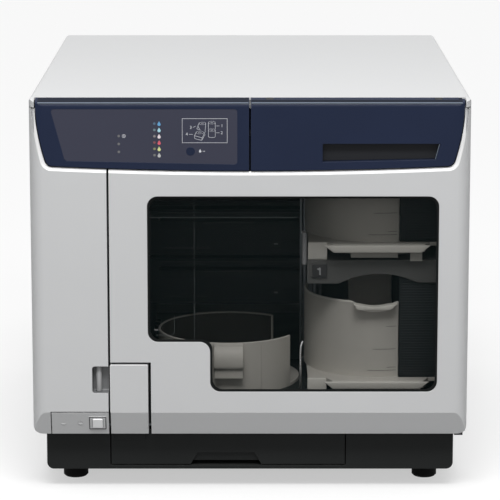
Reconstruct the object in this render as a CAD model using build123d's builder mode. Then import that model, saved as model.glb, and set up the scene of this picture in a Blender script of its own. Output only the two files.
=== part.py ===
from build123d import *
import os
from math import atan2, cos, degrees, hypot, pi, radians, sin, sqrt

# Disc label printer: a robot that moves discs between stackers, two disc drives and an ink printer.
# Millimetres, +Z up. The origin is under the middle of the body, on the surface it stands on.
# The front faces -Y. "Depth" is the distance behind the front plane.

# ---- driving sizes ----
body_width = 377.0
body_length = 465.0
body_height = 348.0
corner_radius = 12.0
shell_wall = 2.5
skirt_z = 53.0            # lower edge of the silver body
base_z = 17.0             # underside of the black base
base_side_inset = 10.5
base_front_inset = 22.0
base_wall = 3.0
foot_radius = 11.0
foot_spacing_x = 311.0
foot_front_depth = 62.0
foot_rear_depth = 410.0

# slopes of the front face, top and bottom
brow_height = 4.0
brow_length = 10.0
chin_height = 20.6
chin_length = 7.0

# seams
seam = 0.8
door_seam = 1.9
navy_seam = 1.0
front_piece_length = 24.0  # how far the front pieces wrap round the sides
side_seam_gap = 2.0

# navy band above the door
navy_low_z = 286.3
navy_corner_x = 172.5
navy_corner_z = 290.4
navy_mid_x = 179.8
navy_mid_z = 318.0
navy_top_x = 182.5
navy_corner_fillet = 6.0
split_gap = 1.6
navy_length = 10.0
rim_width = 3.0           # bright bevelled trim round the navy band
rim_slope_length = 2.0

# disc cover and its window
door_left_x = -120.6
door_top_z = 339.4
door_flange = 2.5
door_flange_length = 17.0
tower_right_x = -88.1
tower_top_z = 115.8
tower_gap = 2.5
window_left_x = -88.0
window_right_x = 161.6
window_low_z = 92.1
window_high_z = 264.0
window_step_x = -34.4
window_step_z = 136.3
window_radius = 9.0
front_corner_round = 8.6
pane_thickness = 2.0
pane_margin = 6.0
gasket_width = 2.0
gasket_thickness = 1.0

# hinges
hinge_x = 183.5
hinge_depth = 16.0
pin_radius = 1.5
pin_clearance = 0.05
knuckle_radius = 4.0
knuckle_length = 16.0
bracket_thickness = 2.6
hinge_gap = 0.4
cover_barrel_radius = 2.2
cover_barrel_depth = 7.8
cover_pin_radius = 1.0
cover_lug_width = 6.0
cover_lug_inset = 16.0

# grip recess of the ink cover
grip_left_x = 61.8
grip_right_top_x = 161.9
grip_right_low_x = 158.2
grip_low_z = 294.6
grip_high_z = 309.4
grip_length = 7.0
grip_wall = 1.5

# control panel
overlay_left_top_x = -169.5
overlay_left_low_x = -157.6
overlay_right_x = -10.8
overlay_high_z = 339.2
overlay_low_z = 293.2
overlay_thickness = 0.6
light_radius = 1.1
status_x = -111.5
status_z = (316.1, 309.3, 302.5)
ink_light_x = -81.2
ink_light_top_z = 326.8
ink_light_pitch = 5.42
ink_count = 6
clean_button_x = -50.6
clean_button_z = 302.9
clean_button_radius = 4.0
clean_button_travel = 1.0
button_clearance = 0.3
board_depth = 9.0
board_thickness = 1.6

# power button on the sloping chin
power_panel_left_x = -172.0
power_panel_z = 73.6
power_button_x = -132.1
power_button_z = 63.8
power_button_size = 8.9
power_button_travel = 1.2
power_button_length = 8.0
power_frame_width = 14.9
power_frame_height = 12.9
power_frame_proud = 0.5

# finger pocket beside the door
pocket_left_x = -136.4
pocket_low_z = 91.1
pocket_high_z = 114.8
pocket_length = 9.0
pocket_wall = 1.5

# drawer (stacker 4)
drawer_left_x = -121.5
drawer_right_x = 83.1
drawer_low_z = 21.3
drawer_high_z = 52.0
drawer_gap = 1.0
drawer_front_thickness = 3.0
drawer_tray_length = 170.0
drawer_tray_wall = 2.5
drawer_rail_width = 8.0
drawer_rail_clearance = 0.3

# cabin
front_frame_depth = 26.0
front_frame_thickness = 3.0
chassis_z = 55.0
chassis_thickness = 2.0
cabin_floor_z = 78.0
cabin_floor_thickness = 3.0
cabin_left_x = -96.0
cabin_right_x = 180.0
cabin_wall = 2.0
cabin_back_depth = 176.0
cabin_top_z = 312.0

# discs and stackers
disc_radius = 60.0
disc_clearance = 1.5
stacker_wall = 2.0
right_axis_x = 112.5
left_axis_x = -19.2
disc_axis_depth = 108.5
stacker_seat = 15.7
stacker_rim_height = 67.6
stacker_pitch = 121.8
flange_thickness = 3.0
bowl_rim_height = 46.0
shelf_thickness = 4.0

# drives and printer
drive_width = 148.0
drive_height = 41.5
drive_length = 170.0
drive_depth = 178.0
drive_low_z = 132.0
drive_pitch = 46.0
bezel_thickness = 4.0
tray_width = 128.0
tray_thickness = 6.0
tray_clearance = 0.5
tray_length = 160.0
tray_travel = 138.0
disc_well_depth = 1.5
cage_wall = 1.5
printer_low_z = 224.0
printer_height = 61.0
printer_length = 235.0
printer_wall = 2.5
carriage_length = 70.0
carriage_travel = 34.0

# arm
arm_pivot_depth = 146.0
column_depth = 160.0
lift_screw_x = 50.5
guide_shaft_x = 60.0
shaft_radius = 3.0
shaft_clearance = 0.05
screw_clearance = 0.3
lift_travel = 198.0
arm_top_z = 304.0
arm_thickness = 8.0
arm_width = 14.0
gripper_radius = 11.0
claw_radius = 7.0
claw_low_z = 284.6

# rear
fan_size = 60.0
fan_radius = 27.0
fan_hub_radius = 10.0
fan_thickness = 20.0
fan_x = 100.0
fan_z = 250.0
inlet_x = -140.0
inlet_z = 100.0
inlet_width = 27.0
inlet_height = 20.0
usb_x = -60.0
usb_z = 100.0
usb_width = 12.4
usb_height = 11.2

# ---- worked out from the driving sizes ----
front_y = -body_length / 2
rear_y = body_length / 2
half_width = body_width / 2
inner_x = half_width - shell_wall
inner_top_z = body_height - shell_wall
stacker_inner = disc_radius + disc_clearance
stacker_outer = stacker_inner + stacker_wall
arm_pivot_x = (left_axis_x + right_axis_x) / 2
arm_reach = hypot(right_axis_x - arm_pivot_x, arm_pivot_depth - disc_axis_depth)
arm_angle = degrees(atan2(disc_axis_depth - arm_pivot_depth, left_axis_x - arm_pivot_x))
chin_angle = degrees(atan2(chin_length, chin_height))
rim_grow = navy_seam + rim_width
rim_low_z = navy_low_z - rim_grow


def depth(distance):
    """Y of a point this far behind the front plane."""
    return front_y + distance


def front_plane(distance):
    """Plane facing the front, this far behind the front plane; its x is X and its y is Z."""
    return Plane.XZ.offset(-depth(distance))


def block(x0, x1, depth0, depth1, z0, z1, mode=Mode.ADD):
    """A box between two X, two depths and two heights, in the open part."""
    with Locations(((x0 + x1) / 2, depth((depth0 + depth1) / 2), (z0 + z1) / 2)):
        Box(x1 - x0, depth1 - depth0, z1 - z0, mode=mode)


def navy_outline(grow=0.0):
    """Outline of the navy band seen from the front, grown by a gap."""
    corner_x = navy_corner_x + grow
    corner_z = navy_corner_z - grow
    mid_x = navy_mid_x + grow
    top_x = navy_top_x + grow
    top_z = body_height + brow_length
    with BuildSketch(front_plane(0)) as outline:
        with BuildLine():
            ThreePointArc((-corner_x, corner_z), (0, navy_low_z - grow), (corner_x, corner_z))
            ThreePointArc((corner_x, corner_z), (mid_x, navy_mid_z), (top_x, top_z))
            Line((top_x, top_z), (-top_x, top_z))
            ThreePointArc((-top_x, top_z), (-mid_x, navy_mid_z), (-corner_x, corner_z))
        make_face()
        fillet(outline.vertices().sort_by(Axis.Y)[:2], navy_corner_fillet + grow)
    return outline.sketch


def window_outline(grow=0.0):
    """Outline of the window seen from the front, with its step for the tower, grown by a margin."""
    with BuildSketch(front_plane(0)) as outline:
        with BuildLine():
            Polyline(
                (window_left_x, window_high_z),
                (window_right_x, window_high_z),
                (window_right_x, window_low_z),
                (window_step_x, window_low_z),
                (window_step_x, window_step_z),
                (window_left_x, window_step_z),
                close=True,
            )
        make_face()
        if grow:
            offset(amount=grow, kind=Kind.INTERSECTION)
        fillet(outline.vertices(), window_radius)
    return outline.sketch


def body_form(inset):
    """The silver body as one solid, with every face but the lowest moved in by the inset."""
    drop = 2 * inset
    with BuildPart() as form:
        with BuildSketch(Plane.YZ.offset(-half_width)) as side:
            with BuildLine():
                Polyline(
                    (depth(chin_length * (1 + drop / chin_height)), skirt_z - drop),
                    (front_y, skirt_z + chin_height),
                    (front_y, body_height - brow_height),
                    (depth(brow_length), body_height),
                    (rear_y, body_height),
                    (rear_y, skirt_z - drop),
                    close=True,
                )
            make_face()
            if inset:
                offset(amount=-inset, kind=Kind.INTERSECTION)
            fillet(side.vertices().group_by(Axis.Y)[-1].sort_by(Axis.X)[-1], corner_radius / 3)
            fillet(side.vertices().group_by(Axis.Y)[-1].sort_by(Axis.X)[0], corner_radius)
            fillet(side.vertices().group_by(Axis.X)[0].sort_by(Axis.Y)[-1], corner_radius / 3)
        extrude(amount=body_width)
        with BuildSketch(Plane.XY):
            RectangleRounded(body_width - 2 * inset, body_length - 2 * inset, corner_radius - inset)
        extrude(amount=body_height, mode=Mode.INTERSECT)
        with BuildSketch(front_plane(0)) as face:
            with Locations((0, (body_height - inset) / 2)):
                Rectangle(body_width - 2 * inset, body_height - inset)
            fillet(face.vertices().group_by(Axis.Y)[-1], corner_radius / 3)
        extrude(amount=-body_length, mode=Mode.INTERSECT)
    return form.part


outer_form = body_form(0)
inner_form = body_form(shell_wall)
with BuildPart() as skin_builder:
    add(outer_form)
    add(inner_form, mode=Mode.SUBTRACT)
skin = skin_builder.part


def front_strip(outline, depth0, depth1):
    """A straight solid behind an outline seen from the front, between two depths."""
    with BuildPart() as strip:
        extrude(outline.moved(Location((0, depth0, 0))), amount=depth1 - depth0, dir=(0, 1, 0))
    return strip.part


os.makedirs("parts", exist_ok=True)


def finish(builder, name):
    """Name a finished piece and write it to its own file."""
    builder.part.label = name
    export_step(builder.part, f"parts/{name}.step")


# ==== black base and feet ====
base_half_width = half_width - base_side_inset
with BuildPart() as base_tray:
    with BuildSketch(front_plane(base_front_inset)) as base_face:
        with Locations((0, (base_z + chassis_z) / 2)):
            Rectangle(2 * base_half_width, chassis_z - base_z)
        fillet(base_face.vertices().group_by(Axis.Y)[0], corner_radius / 2)
    extrude(amount=-(body_length - base_front_inset - shell_wall - seam))
    base_length = body_length - base_front_inset - shell_wall - seam
    block(
        -base_half_width + base_wall, base_half_width - base_wall,
        base_front_inset + base_wall, base_front_inset + base_length - base_wall,
        base_z + base_wall, chassis_z + 1, mode=Mode.SUBTRACT,
    )
    block(
        drawer_left_x - drawer_gap, drawer_right_x + drawer_gap,
        base_front_inset - 1, base_front_inset + base_wall + 1,
        drawer_low_z - drawer_gap, chassis_z + 1, mode=Mode.SUBTRACT,
    )
finish(base_tray, "base_tray")

with BuildPart() as rubber_feet:
    with BuildSketch(Plane.XY):
        for foot_depth in (foot_front_depth, foot_rear_depth):
            with Locations((-foot_spacing_x / 2, depth(foot_depth)), (foot_spacing_x / 2, depth(foot_depth))):
                Circle(foot_radius)
    extrude(amount=base_z)
    chamfer(rubber_feet.edges().group_by(Axis.Z)[0], 1.5)
finish(rubber_feet, "rubber_feet")

# ==== steel chassis ====
chassis_top_z = chassis_z + chassis_thickness
with BuildPart() as chassis_floor:
    block(-inner_x, inner_x, front_frame_depth, body_length - shell_wall, chassis_z, chassis_top_z)
    fillet(
        chassis_floor.edges().filter_by(Axis.Z).group_by(Axis.Y)[-1],
        corner_radius - shell_wall,
    )
finish(chassis_floor, "chassis_floor")

with BuildPart() as front_frame:
    with BuildSketch(front_plane(front_frame_depth)):
        with BuildLine():
            Polyline(
                (-inner_x, chassis_top_z), (inner_x, chassis_top_z),
                (inner_x, cabin_top_z), (-split_gap, cabin_top_z),
                (-split_gap, body_height - brow_length), (-inner_x, body_height - brow_length),
                close=True,
            )
        make_face()
        with Locations(((cabin_left_x + cabin_right_x) / 2, (cabin_floor_z + cabin_top_z) / 2)):
            RectangleRounded(
                cabin_right_x - cabin_left_x - 8, cabin_top_z - cabin_floor_z - 12, 8,
                mode=Mode.SUBTRACT,
            )
    extrude(amount=-front_frame_thickness)
finish(front_frame, "front_frame")

# ==== silver outer panels ====
side_panel_depth = front_piece_length + side_seam_gap
side_panel_top_z = cabin_top_z + 6
lip_inner_x = inner_x - 2.5


def side_panel(side, name):
    """A side cover that wraps round the rear corner, with a lip inside its top edge."""
    with BuildPart() as panel:
        add(skin)
        low_x, high_x = sorted((side * (half_width - corner_radius), side * (half_width + 1)))
        block(
            low_x, high_x, side_panel_depth, body_length + 1,
            skirt_z - 1, side_panel_top_z - seam / 2, mode=Mode.INTERSECT,
        )
        low_x, high_x = sorted((side * lip_inner_x, side * inner_x))
        block(low_x, high_x, 40, body_length - 25, side_panel_top_z - 10, side_panel_top_z)
    finish(panel, name)


side_panel(-1, "left_side_panel")
side_panel(1, "right_side_panel")

with BuildPart() as top_cover:
    add(skin)
    block(
        -half_width - 1, half_width + 1, -1, body_length + 1,
        side_panel_top_z + seam / 2, body_height + 1, mode=Mode.INTERSECT,
    )
    add(front_strip(navy_outline(navy_seam), -1, navy_length + navy_seam), mode=Mode.SUBTRACT)
    block(
        -half_width - 1, half_width + 1, -1, side_panel_depth,
        side_panel_top_z, door_top_z + seam, mode=Mode.SUBTRACT,
    )
    for side in (-1, 1):
        low_x, high_x = sorted((side * lip_inner_x, side * inner_x))
        block(low_x, high_x, 40, body_length - 25, side_panel_top_z, side_panel_top_z + 8)
    block(
        -split_gap, split_gap, brow_length + 2, front_frame_depth + front_frame_thickness,
        body_height - brow_length, inner_top_z,
    )
finish(top_cover, "top_cover")

# ==== rear panel with its vents and sockets ====
rear_half_width = half_width - corner_radius - seam
with BuildPart() as rear_panel:
    add(skin)
    block(
        -rear_half_width, rear_half_width, body_length - shell_wall, body_length + 1,
        skirt_z - 1, side_panel_top_z - seam / 2, mode=Mode.INTERSECT,
    )
    with BuildSketch(Plane.XZ.offset(-rear_y)):
        with Locations((fan_x, fan_z)):
            Circle(fan_radius)
    extrude(amount=shell_wall, mode=Mode.SUBTRACT)
    with BuildSketch(Plane.XZ.offset(-rear_y)):
        with Locations((fan_x, fan_z)):
            for ring in (1, 2, 3):
                ring_radius = fan_radius * ring / 3.6
                Circle(ring_radius + 0.8)
                Circle(ring_radius - 0.8, mode=Mode.SUBTRACT)
            Rectangle(2 * fan_radius, 2)
            Rectangle(2, 2 * fan_radius)
    extrude(amount=shell_wall)
    with BuildSketch(Plane.XZ.offset(-rear_y)):
        with Locations((inlet_x, inlet_z)):
            Rectangle(inlet_width + 0.6, inlet_height + 0.6)
        with Locations((usb_x, usb_z)):
            Rectangle(usb_width + 0.6, usb_height + 0.6)
        with Locations((inlet_x + 30, fan_z)):
            with GridLocations(0, 9, 1, 9):
                SlotOverall(70, 4)
    extrude(amount=shell_wall, mode=Mode.SUBTRACT)
finish(rear_panel, "rear_panel")

# ==== left front panel, with the finger pocket beside the door ====
left_edge_x = door_left_x - door_seam
with BuildPart() as left_front_panel:
    add(skin)
    block(
        -half_width - 1, left_edge_x, -1, front_piece_length,
        skirt_z - 1, door_top_z, mode=Mode.INTERSECT,
    )
    add(front_strip(navy_outline(rim_grow), -1, front_piece_length + 1), mode=Mode.SUBTRACT)
    block(
        power_panel_left_x - seam, left_edge_x + 1, -1, front_piece_length + 1,
        skirt_z - 1, power_panel_z + seam, mode=Mode.SUBTRACT,
    )
    with BuildSketch(front_plane(-1)) as corner_cut:
        with Locations((-half_width + front_corner_round / 2, skirt_z + front_corner_round / 2)):
            Rectangle(front_corner_round, front_corner_round)
        with Locations((-half_width + front_corner_round, skirt_z + front_corner_round)):
            Circle(front_corner_round, mode=Mode.SUBTRACT)
    extrude(amount=-(front_piece_length + 2), mode=Mode.SUBTRACT)
    block(
        left_edge_x - door_flange, left_edge_x, shell_wall - 0.5, door_flange_length,
        power_panel_z + seam, rim_low_z - 0.5,
    )
    block(
        pocket_left_x - pocket_wall, left_edge_x, 1, pocket_length + pocket_wall,
        pocket_low_z - pocket_wall, pocket_high_z + pocket_wall,
    )
    block(
        pocket_left_x, left_edge_x + 1, -1, pocket_length,
        pocket_low_z, pocket_high_z, mode=Mode.SUBTRACT,
    )
    with BuildSketch(front_plane(1)):
        with Locations((-160, 100), (-160, 180), (-160, 260), (-135, 260), (-135, 180)):
            Circle(4)
    extrude(amount=-(front_frame_depth - 1))
finish(left_front_panel, "left_front_panel")

# ==== power panel: a piece of the sloping chin with its button ====
button_plane = Plane(
    origin=(power_button_x, depth(chin_length * (1 - (power_button_z - skirt_z) / chin_height)),
            power_button_z),
    x_dir=(1, 0, 0),
    z_dir=(0, -cos(radians(chin_angle)), -sin(radians(chin_angle))),
)
with BuildPart() as power_panel:
    add(skin)
    block(
        power_panel_left_x, left_edge_x, -1, front_piece_length,
        skirt_z - 1, power_panel_z, mode=Mode.INTERSECT,
    )
    with BuildSketch(button_plane.offset(-shell_wall - 2)):
        Rectangle(power_frame_width, power_frame_height)
    extrude(amount=shell_wall + 2 + power_frame_proud)
    with BuildSketch(button_plane.offset(power_frame_proud + 1)):
        RectangleRounded(
            power_button_size + 2 * button_clearance, power_button_size + 2 * button_clearance, 1
        )
    extrude(amount=-30, mode=Mode.SUBTRACT)
    with BuildSketch(front_plane(chin_length / 2)):
        with Locations((-162, 65), (-147, 65)):
            Circle(3)
    extrude(amount=-(front_frame_depth - chin_length / 2))
finish(power_panel, "power_panel")

with BuildPart() as power_button:
    with BuildSketch(button_plane.offset(power_frame_proud + power_button_travel)):
        RectangleRounded(power_button_size, power_button_size, 0.8)
    extrude(amount=-power_button_length)
    fillet(power_button.faces().sort_by(Axis.Y)[0].edges(), 0.5)
finish(power_button, "power_button")

# ==== control panel: the fixed left half of the navy band ====
ink_lights_z = [ink_light_top_z - number * ink_light_pitch for number in range(ink_count)]
with BuildSketch(front_plane(0)) as overlay_face:
    with BuildLine():
        Polyline(
            (overlay_left_top_x, overlay_high_z), (overlay_right_x, overlay_high_z),
            (overlay_right_x, overlay_low_z - 1.5), (overlay_left_low_x, overlay_low_z + 1.5),
            close=True,
        )
    make_face()
    fillet(overlay_face.vertices(), 2.5)


def light_holes(clearance=0.0):
    """Round holes for the lights and the button, in the open sketch."""
    with Locations(*[(status_x, z) for z in status_z], *[(ink_light_x, z) for z in ink_lights_z]):
        Circle(light_radius)
    with Locations((clean_button_x, clean_button_z)):
        Circle(clean_button_radius + button_clearance)


with BuildPart() as control_panel:
    add(skin)
    add(front_strip(navy_outline(), -1, navy_length), mode=Mode.INTERSECT)
    block(
        -half_width, -split_gap / 2, -1, navy_length + 1,
        navy_low_z - 1, body_height + 1, mode=Mode.INTERSECT,
    )
    add(front_strip(overlay_face.sketch, -1, overlay_thickness), mode=Mode.SUBTRACT)
    with BuildSketch(front_plane(shell_wall - 0.5)):
        with Locations((-150, 300), (-30, 300), (-150, 335), (-30, 335)):
            Circle(3.5)
    extrude(amount=-(front_frame_depth - shell_wall + 0.5))
    with BuildSketch(front_plane(0)):
        light_holes()
    extrude(amount=-shell_wall - 1, mode=Mode.SUBTRACT)
finish(control_panel, "control_panel")

with BuildPart() as control_overlay:
    add(front_strip(overlay_face.sketch, 0, overlay_thickness))
    with BuildSketch(front_plane(0)):
        light_holes()
    extrude(amount=-overlay_thickness, mode=Mode.SUBTRACT)
finish(control_overlay, "control_overlay")

with BuildPart() as status_lights:
    with BuildSketch(front_plane(0)):
        with Locations(*[(status_x, z) for z in status_z]):
            Circle(light_radius)
    extrude(amount=-board_depth)
finish(status_lights, "status_lights")

with BuildPart() as ink_lights:
    with BuildSketch(front_plane(0)):
        with Locations(*[(ink_light_x, z) for z in ink_lights_z]):
            Circle(light_radius)
    extrude(amount=-board_depth)
finish(ink_lights, "ink_lights")

with BuildPart() as cleaning_button:
    with BuildSketch(front_plane(0)):
        with Locations((clean_button_x, clean_button_z)):
            Circle(clean_button_radius)
    extrude(amount=-(board_depth - clean_button_travel - 0.3))
    fillet(cleaning_button.faces().sort_by(Axis.Y)[0].edges(), 0.6)
finish(cleaning_button, "cleaning_button")

with BuildPart() as control_board:
    block(
        -146, -34, board_depth, board_depth + board_thickness, 293, 333,
    )
    block(
        -150, -30, board_depth, board_depth + board_thickness, 304, 331,
    )
finish(control_board, "control_board")

# ==== ink cover: the right half of the navy band, hinged at its top rear edge ====
cover_axis_z = body_height - cover_barrel_radius
cover_lugs_x = (split_gap / 2 + cover_lug_inset, navy_top_x - cover_lug_inset - 6)
with BuildPart() as ink_cover:
    add(skin)
    add(front_strip(navy_outline(), -1, cover_barrel_depth), mode=Mode.INTERSECT)
    block(
        split_gap / 2, half_width, -1, cover_barrel_depth,
        navy_low_z - 1, body_height + 1, mode=Mode.INTERSECT,
    )
    with BuildSketch(Plane.YZ.offset(split_gap / 2)):
        with Locations((depth(cover_barrel_depth), cover_axis_z)):
            Circle(cover_barrel_radius)
    extrude(amount=navy_top_x - split_gap / 2 - 5)
    with BuildSketch(Plane.YZ.offset(split_gap / 2)):
        with Locations((depth(cover_barrel_depth), cover_axis_z)):
            Circle(cover_pin_radius + pin_clearance)
    extrude(amount=navy_top_x - split_gap / 2, mode=Mode.SUBTRACT)
    for lug_x in cover_lugs_x:
        block(
            lug_x - cover_lug_width / 2 - hinge_gap, lug_x + cover_lug_width / 2 + hinge_gap,
            cover_barrel_depth - cover_barrel_radius - 1, navy_length + 5,
            cover_axis_z - cover_barrel_radius - 1, body_height + 1, mode=Mode.SUBTRACT,
        )
    block(
        grip_left_x - grip_wall, grip_right_top_x + grip_wall, 1, grip_length + grip_wall,
        grip_low_z - grip_wall - 0.5, grip_high_z + grip_wall,
    )
    with BuildSketch(front_plane(-1)) as grip_face:
        with BuildLine():
            Polyline(
                (grip_left_x, grip_high_z), (grip_right_top_x, grip_high_z),
                (grip_right_low_x, grip_low_z + 1), (grip_left_x, grip_low_z - 1),
                close=True,
            )
        make_face()
    extrude(amount=-(grip_length + 1), mode=Mode.SUBTRACT)
finish(ink_cover, "ink_cover")

# ==== disc cover: the large front door, which wraps round the right front corner ====
with BuildSketch(front_plane(0)) as door_face:
    with BuildLine():
        Polyline(
            (door_left_x, tower_top_z + tower_gap), (door_left_x, door_top_z),
            (half_width, door_top_z), (half_width, skirt_z),
            (tower_right_x + tower_gap, skirt_z),
            (tower_right_x + tower_gap, tower_top_z + tower_gap),
            close=True,
        )
    make_face()
    fillet(door_face.vertices().group_by(Axis.X)[-1].sort_by(Axis.Y)[0], front_corner_round)
with BuildPart() as disc_cover:
    add(skin)
    add(front_strip(door_face.sketch, -1, front_piece_length), mode=Mode.INTERSECT)
    add(front_strip(navy_outline(rim_grow), -1, front_piece_length + 1), mode=Mode.SUBTRACT)
    # flanges behind the edges
    flange_high = door_flange_length
    block(
        door_left_x, door_left_x + door_flange, 1.5, flange_high,
        tower_top_z + tower_gap, rim_low_z - 0.5,
    )
    block(
        door_left_x, tower_right_x + tower_gap + door_flange, 1.5, flange_high,
        tower_top_z + tower_gap, tower_top_z + tower_gap + door_flange,
    )
    block(
        tower_right_x + tower_gap, tower_right_x + tower_gap + door_flange, chin_length + 1, flange_high,
        skirt_z, tower_top_z + tower_gap + door_flange,
    )
    block(
        tower_right_x + tower_gap, half_width - corner_radius, chin_length + 1, flange_high,
        skirt_z, skirt_z + door_flange,
    )
    block(
        door_left_x, half_width - corner_radius, 1.5, flange_high,
        rim_low_z - 0.5 - door_flange, rim_low_z - 0.5,
    )
    # knuckles round the hinge axis
    for knuckle_z in (skirt_z + hinge_gap, door_top_z - knuckle_length):
        with BuildSketch(Plane.XY.offset(knuckle_z)):
            with Locations((hinge_x, depth(hinge_depth))):
                Circle(knuckle_radius)
        extrude(amount=knuckle_length)
        with BuildSketch(Plane.XY.offset(knuckle_z)):
            with Locations((hinge_x, depth(hinge_depth))):
                Circle(pin_radius + pin_clearance)
        extrude(amount=knuckle_length, mode=Mode.SUBTRACT)
    # window opening
    add(front_strip(window_outline(), -1, shell_wall + 1), mode=Mode.SUBTRACT)
finish(disc_cover, "disc_cover")

# ==== bevelled trim round the navy band, on the cover and on the left panel ====


def rim_strip(x0, x1, name):
    """Trim between two X, sloping in from the silver face to the navy band."""
    with BuildPart() as rim:
        add(skin)
        add(front_strip(navy_outline(rim_grow), -1, shell_wall), mode=Mode.INTERSECT)
        add(front_strip(navy_outline(navy_seam), -1, shell_wall + 1), mode=Mode.SUBTRACT)
        with BuildPart(mode=Mode.SUBTRACT):
            loft(
                [
                    navy_outline(rim_grow).moved(Location((0, 0, 0))),
                    navy_outline(navy_seam).moved(Location((0, rim_slope_length, 0))),
                ],
                ruled=True,
            )
        block(x0, x1, -1, front_piece_length, navy_low_z - 10, door_top_z, mode=Mode.INTERSECT)
    finish(rim, name)


rim_strip(door_left_x, half_width, "cover_rim")
rim_strip(-half_width, left_edge_x, "panel_rim")

with BuildPart() as window_gasket:
    add(front_strip(window_outline(), shell_wall - gasket_thickness, shell_wall))
    add(front_strip(window_outline(-gasket_width), 0, shell_wall + 1), mode=Mode.SUBTRACT)
finish(window_gasket, "window_gasket")

with BuildPart() as window_pane:
    add(front_strip(window_outline(pane_margin), shell_wall, shell_wall + pane_thickness))
finish(window_pane, "window_pane")

# ==== hinge brackets and pins ====
door_lugs_z = (skirt_z - bracket_thickness, door_top_z + hinge_gap)
bracket_outer_x = inner_x - 0.6
with BuildPart() as hinge_brackets:
    for lug_z in door_lugs_z:
        block(
            base_half_width, bracket_outer_x, hinge_depth - knuckle_radius,
            front_frame_depth + 14, lug_z, lug_z + bracket_thickness,
        )
    block(
        base_half_width, bracket_outer_x, front_frame_depth + 4, front_frame_depth + 14,
        door_lugs_z[0] + bracket_thickness, chassis_z,
    )
    block(
        base_half_width, hinge_x - pin_radius, front_frame_depth + 4, front_frame_depth + 14,
        door_lugs_z[1] + bracket_thickness, inner_top_z,
    )
    for lug_x in cover_lugs_x:
        with BuildSketch(Plane.YZ.offset(lug_x - cover_lug_width / 2)):
            with Locations((depth(cover_barrel_depth), cover_axis_z)):
                Circle(cover_barrel_radius)
            with BuildLine():
                Polyline(
                    (depth(cover_barrel_depth), cover_axis_z - cover_barrel_radius),
                    (depth(front_frame_depth), cover_axis_z - cover_barrel_radius - 3),
                    (depth(front_frame_depth), inner_top_z),
                    (depth(navy_length + 12), inner_top_z),
                    (depth(navy_length + 11), cover_axis_z - 1.6),
                    (depth(navy_length + 0.4), cover_axis_z - 1.6),
                    (depth(cover_barrel_depth), cover_axis_z),
                    close=True,
                )
            make_face()
        extrude(amount=cover_lug_width)
    for lug_z in door_lugs_z:
        with BuildSketch(Plane.XY.offset(lug_z)):
            with Locations((hinge_x, depth(hinge_depth))):
                Circle(pin_radius)
        extrude(amount=bracket_thickness, mode=Mode.SUBTRACT)
    for lug_x in cover_lugs_x:
        with BuildSketch(Plane.YZ.offset(lug_x - cover_lug_width / 2)):
            with Locations((depth(cover_barrel_depth), cover_axis_z)):
                Circle(cover_pin_radius)
        extrude(amount=cover_lug_width, mode=Mode.SUBTRACT)
finish(hinge_brackets, "hinge_brackets")

with BuildPart() as hinge_pins:
    with BuildSketch(Plane.XY.offset(door_lugs_z[0])):
        with Locations((hinge_x, depth(hinge_depth))):
            Circle(pin_radius)
    extrude(amount=bracket_thickness + knuckle_length)
    with BuildSketch(Plane.XY.offset(door_top_z - knuckle_length + 1)):
        with Locations((hinge_x, depth(hinge_depth))):
            Circle(pin_radius)
    extrude(amount=knuckle_length + bracket_thickness + hinge_gap - 1)
    for lug_x in cover_lugs_x:
        with BuildSketch(Plane.YZ.offset(lug_x - cover_lug_width)):
            with Locations((depth(cover_barrel_depth), cover_axis_z)):
                Circle(cover_pin_radius)
        extrude(amount=2 * cover_lug_width)
finish(hinge_pins, "hinge_pins")

# ==== ink bay and cartridges ====
bay_left_x = 6.0
bay_right_x = 172.0
bay_front_depth = front_frame_depth
bay_length = 116.0
bay_wall = 2.0
bay_top_z = 341.0
slot_pitch = (bay_right_x - bay_left_x - bay_wall) / ink_count
cartridge_clearance = 0.4
cartridge_width = slot_pitch - bay_wall - 2 * cartridge_clearance
cartridge_height = 25.0
with BuildPart() as ink_bay:
    block(bay_left_x, bay_right_x, bay_front_depth, bay_front_depth + bay_length, cabin_top_z, bay_top_z)
    block(bay_right_x, lip_inner_x, bay_front_depth + 14, bay_front_depth + bay_length, cabin_top_z, cabin_top_z + 3)
    for number in range(ink_count):
        slot_x = bay_left_x + bay_wall + number * slot_pitch
        block(
            slot_x, slot_x + slot_pitch - bay_wall,
            bay_front_depth - 1, bay_front_depth + bay_length - bay_wall,
            cabin_top_z + bay_wall, bay_top_z - bay_wall if number < 0 else bay_top_z + 1,
            mode=Mode.SUBTRACT,
        )
finish(ink_bay, "ink_bay")

with BuildPart() as ink_cartridges:
    for number in range(ink_count):
        cartridge_x = bay_left_x + bay_wall + number * slot_pitch + cartridge_clearance
        block(
            cartridge_x, cartridge_x + cartridge_width,
            bay_front_depth - 4, bay_front_depth + bay_length - bay_wall - 3,
            cabin_top_z + bay_wall, cabin_top_z + bay_wall + cartridge_height,
        )
    fillet(ink_cartridges.edges().filter_by(Axis.X).group_by(Axis.Y)[0], 2)
finish(ink_cartridges, "ink_cartridges")

# ==== drawer: stacker 4 under the cabin floor ====
drawer_front_depth = base_front_inset
with BuildPart() as drawer_front:
    block(
        drawer_left_x, drawer_right_x, drawer_front_depth, drawer_front_depth + drawer_front_thickness,
        drawer_low_z, drawer_high_z,
    )
    # finger recess under the front edge
    with BuildSketch(front_plane(drawer_front_depth)):
        with BuildLine():
            Polyline((-52, drawer_low_z), (-46, drawer_low_z + 10.5), (4, drawer_low_z + 10.5),
                     (10, drawer_low_z), close=True)
        make_face()
    extrude(amount=-drawer_front_thickness, mode=Mode.SUBTRACT)
    # tongue that carries the tower
    block(
        drawer_left_x + 4, tower_right_x - 4, drawer_front_depth - 2, drawer_front_depth + 2,
        drawer_high_z - 8, chassis_top_z + 10,
    )
finish(drawer_front, "drawer_front")

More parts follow.
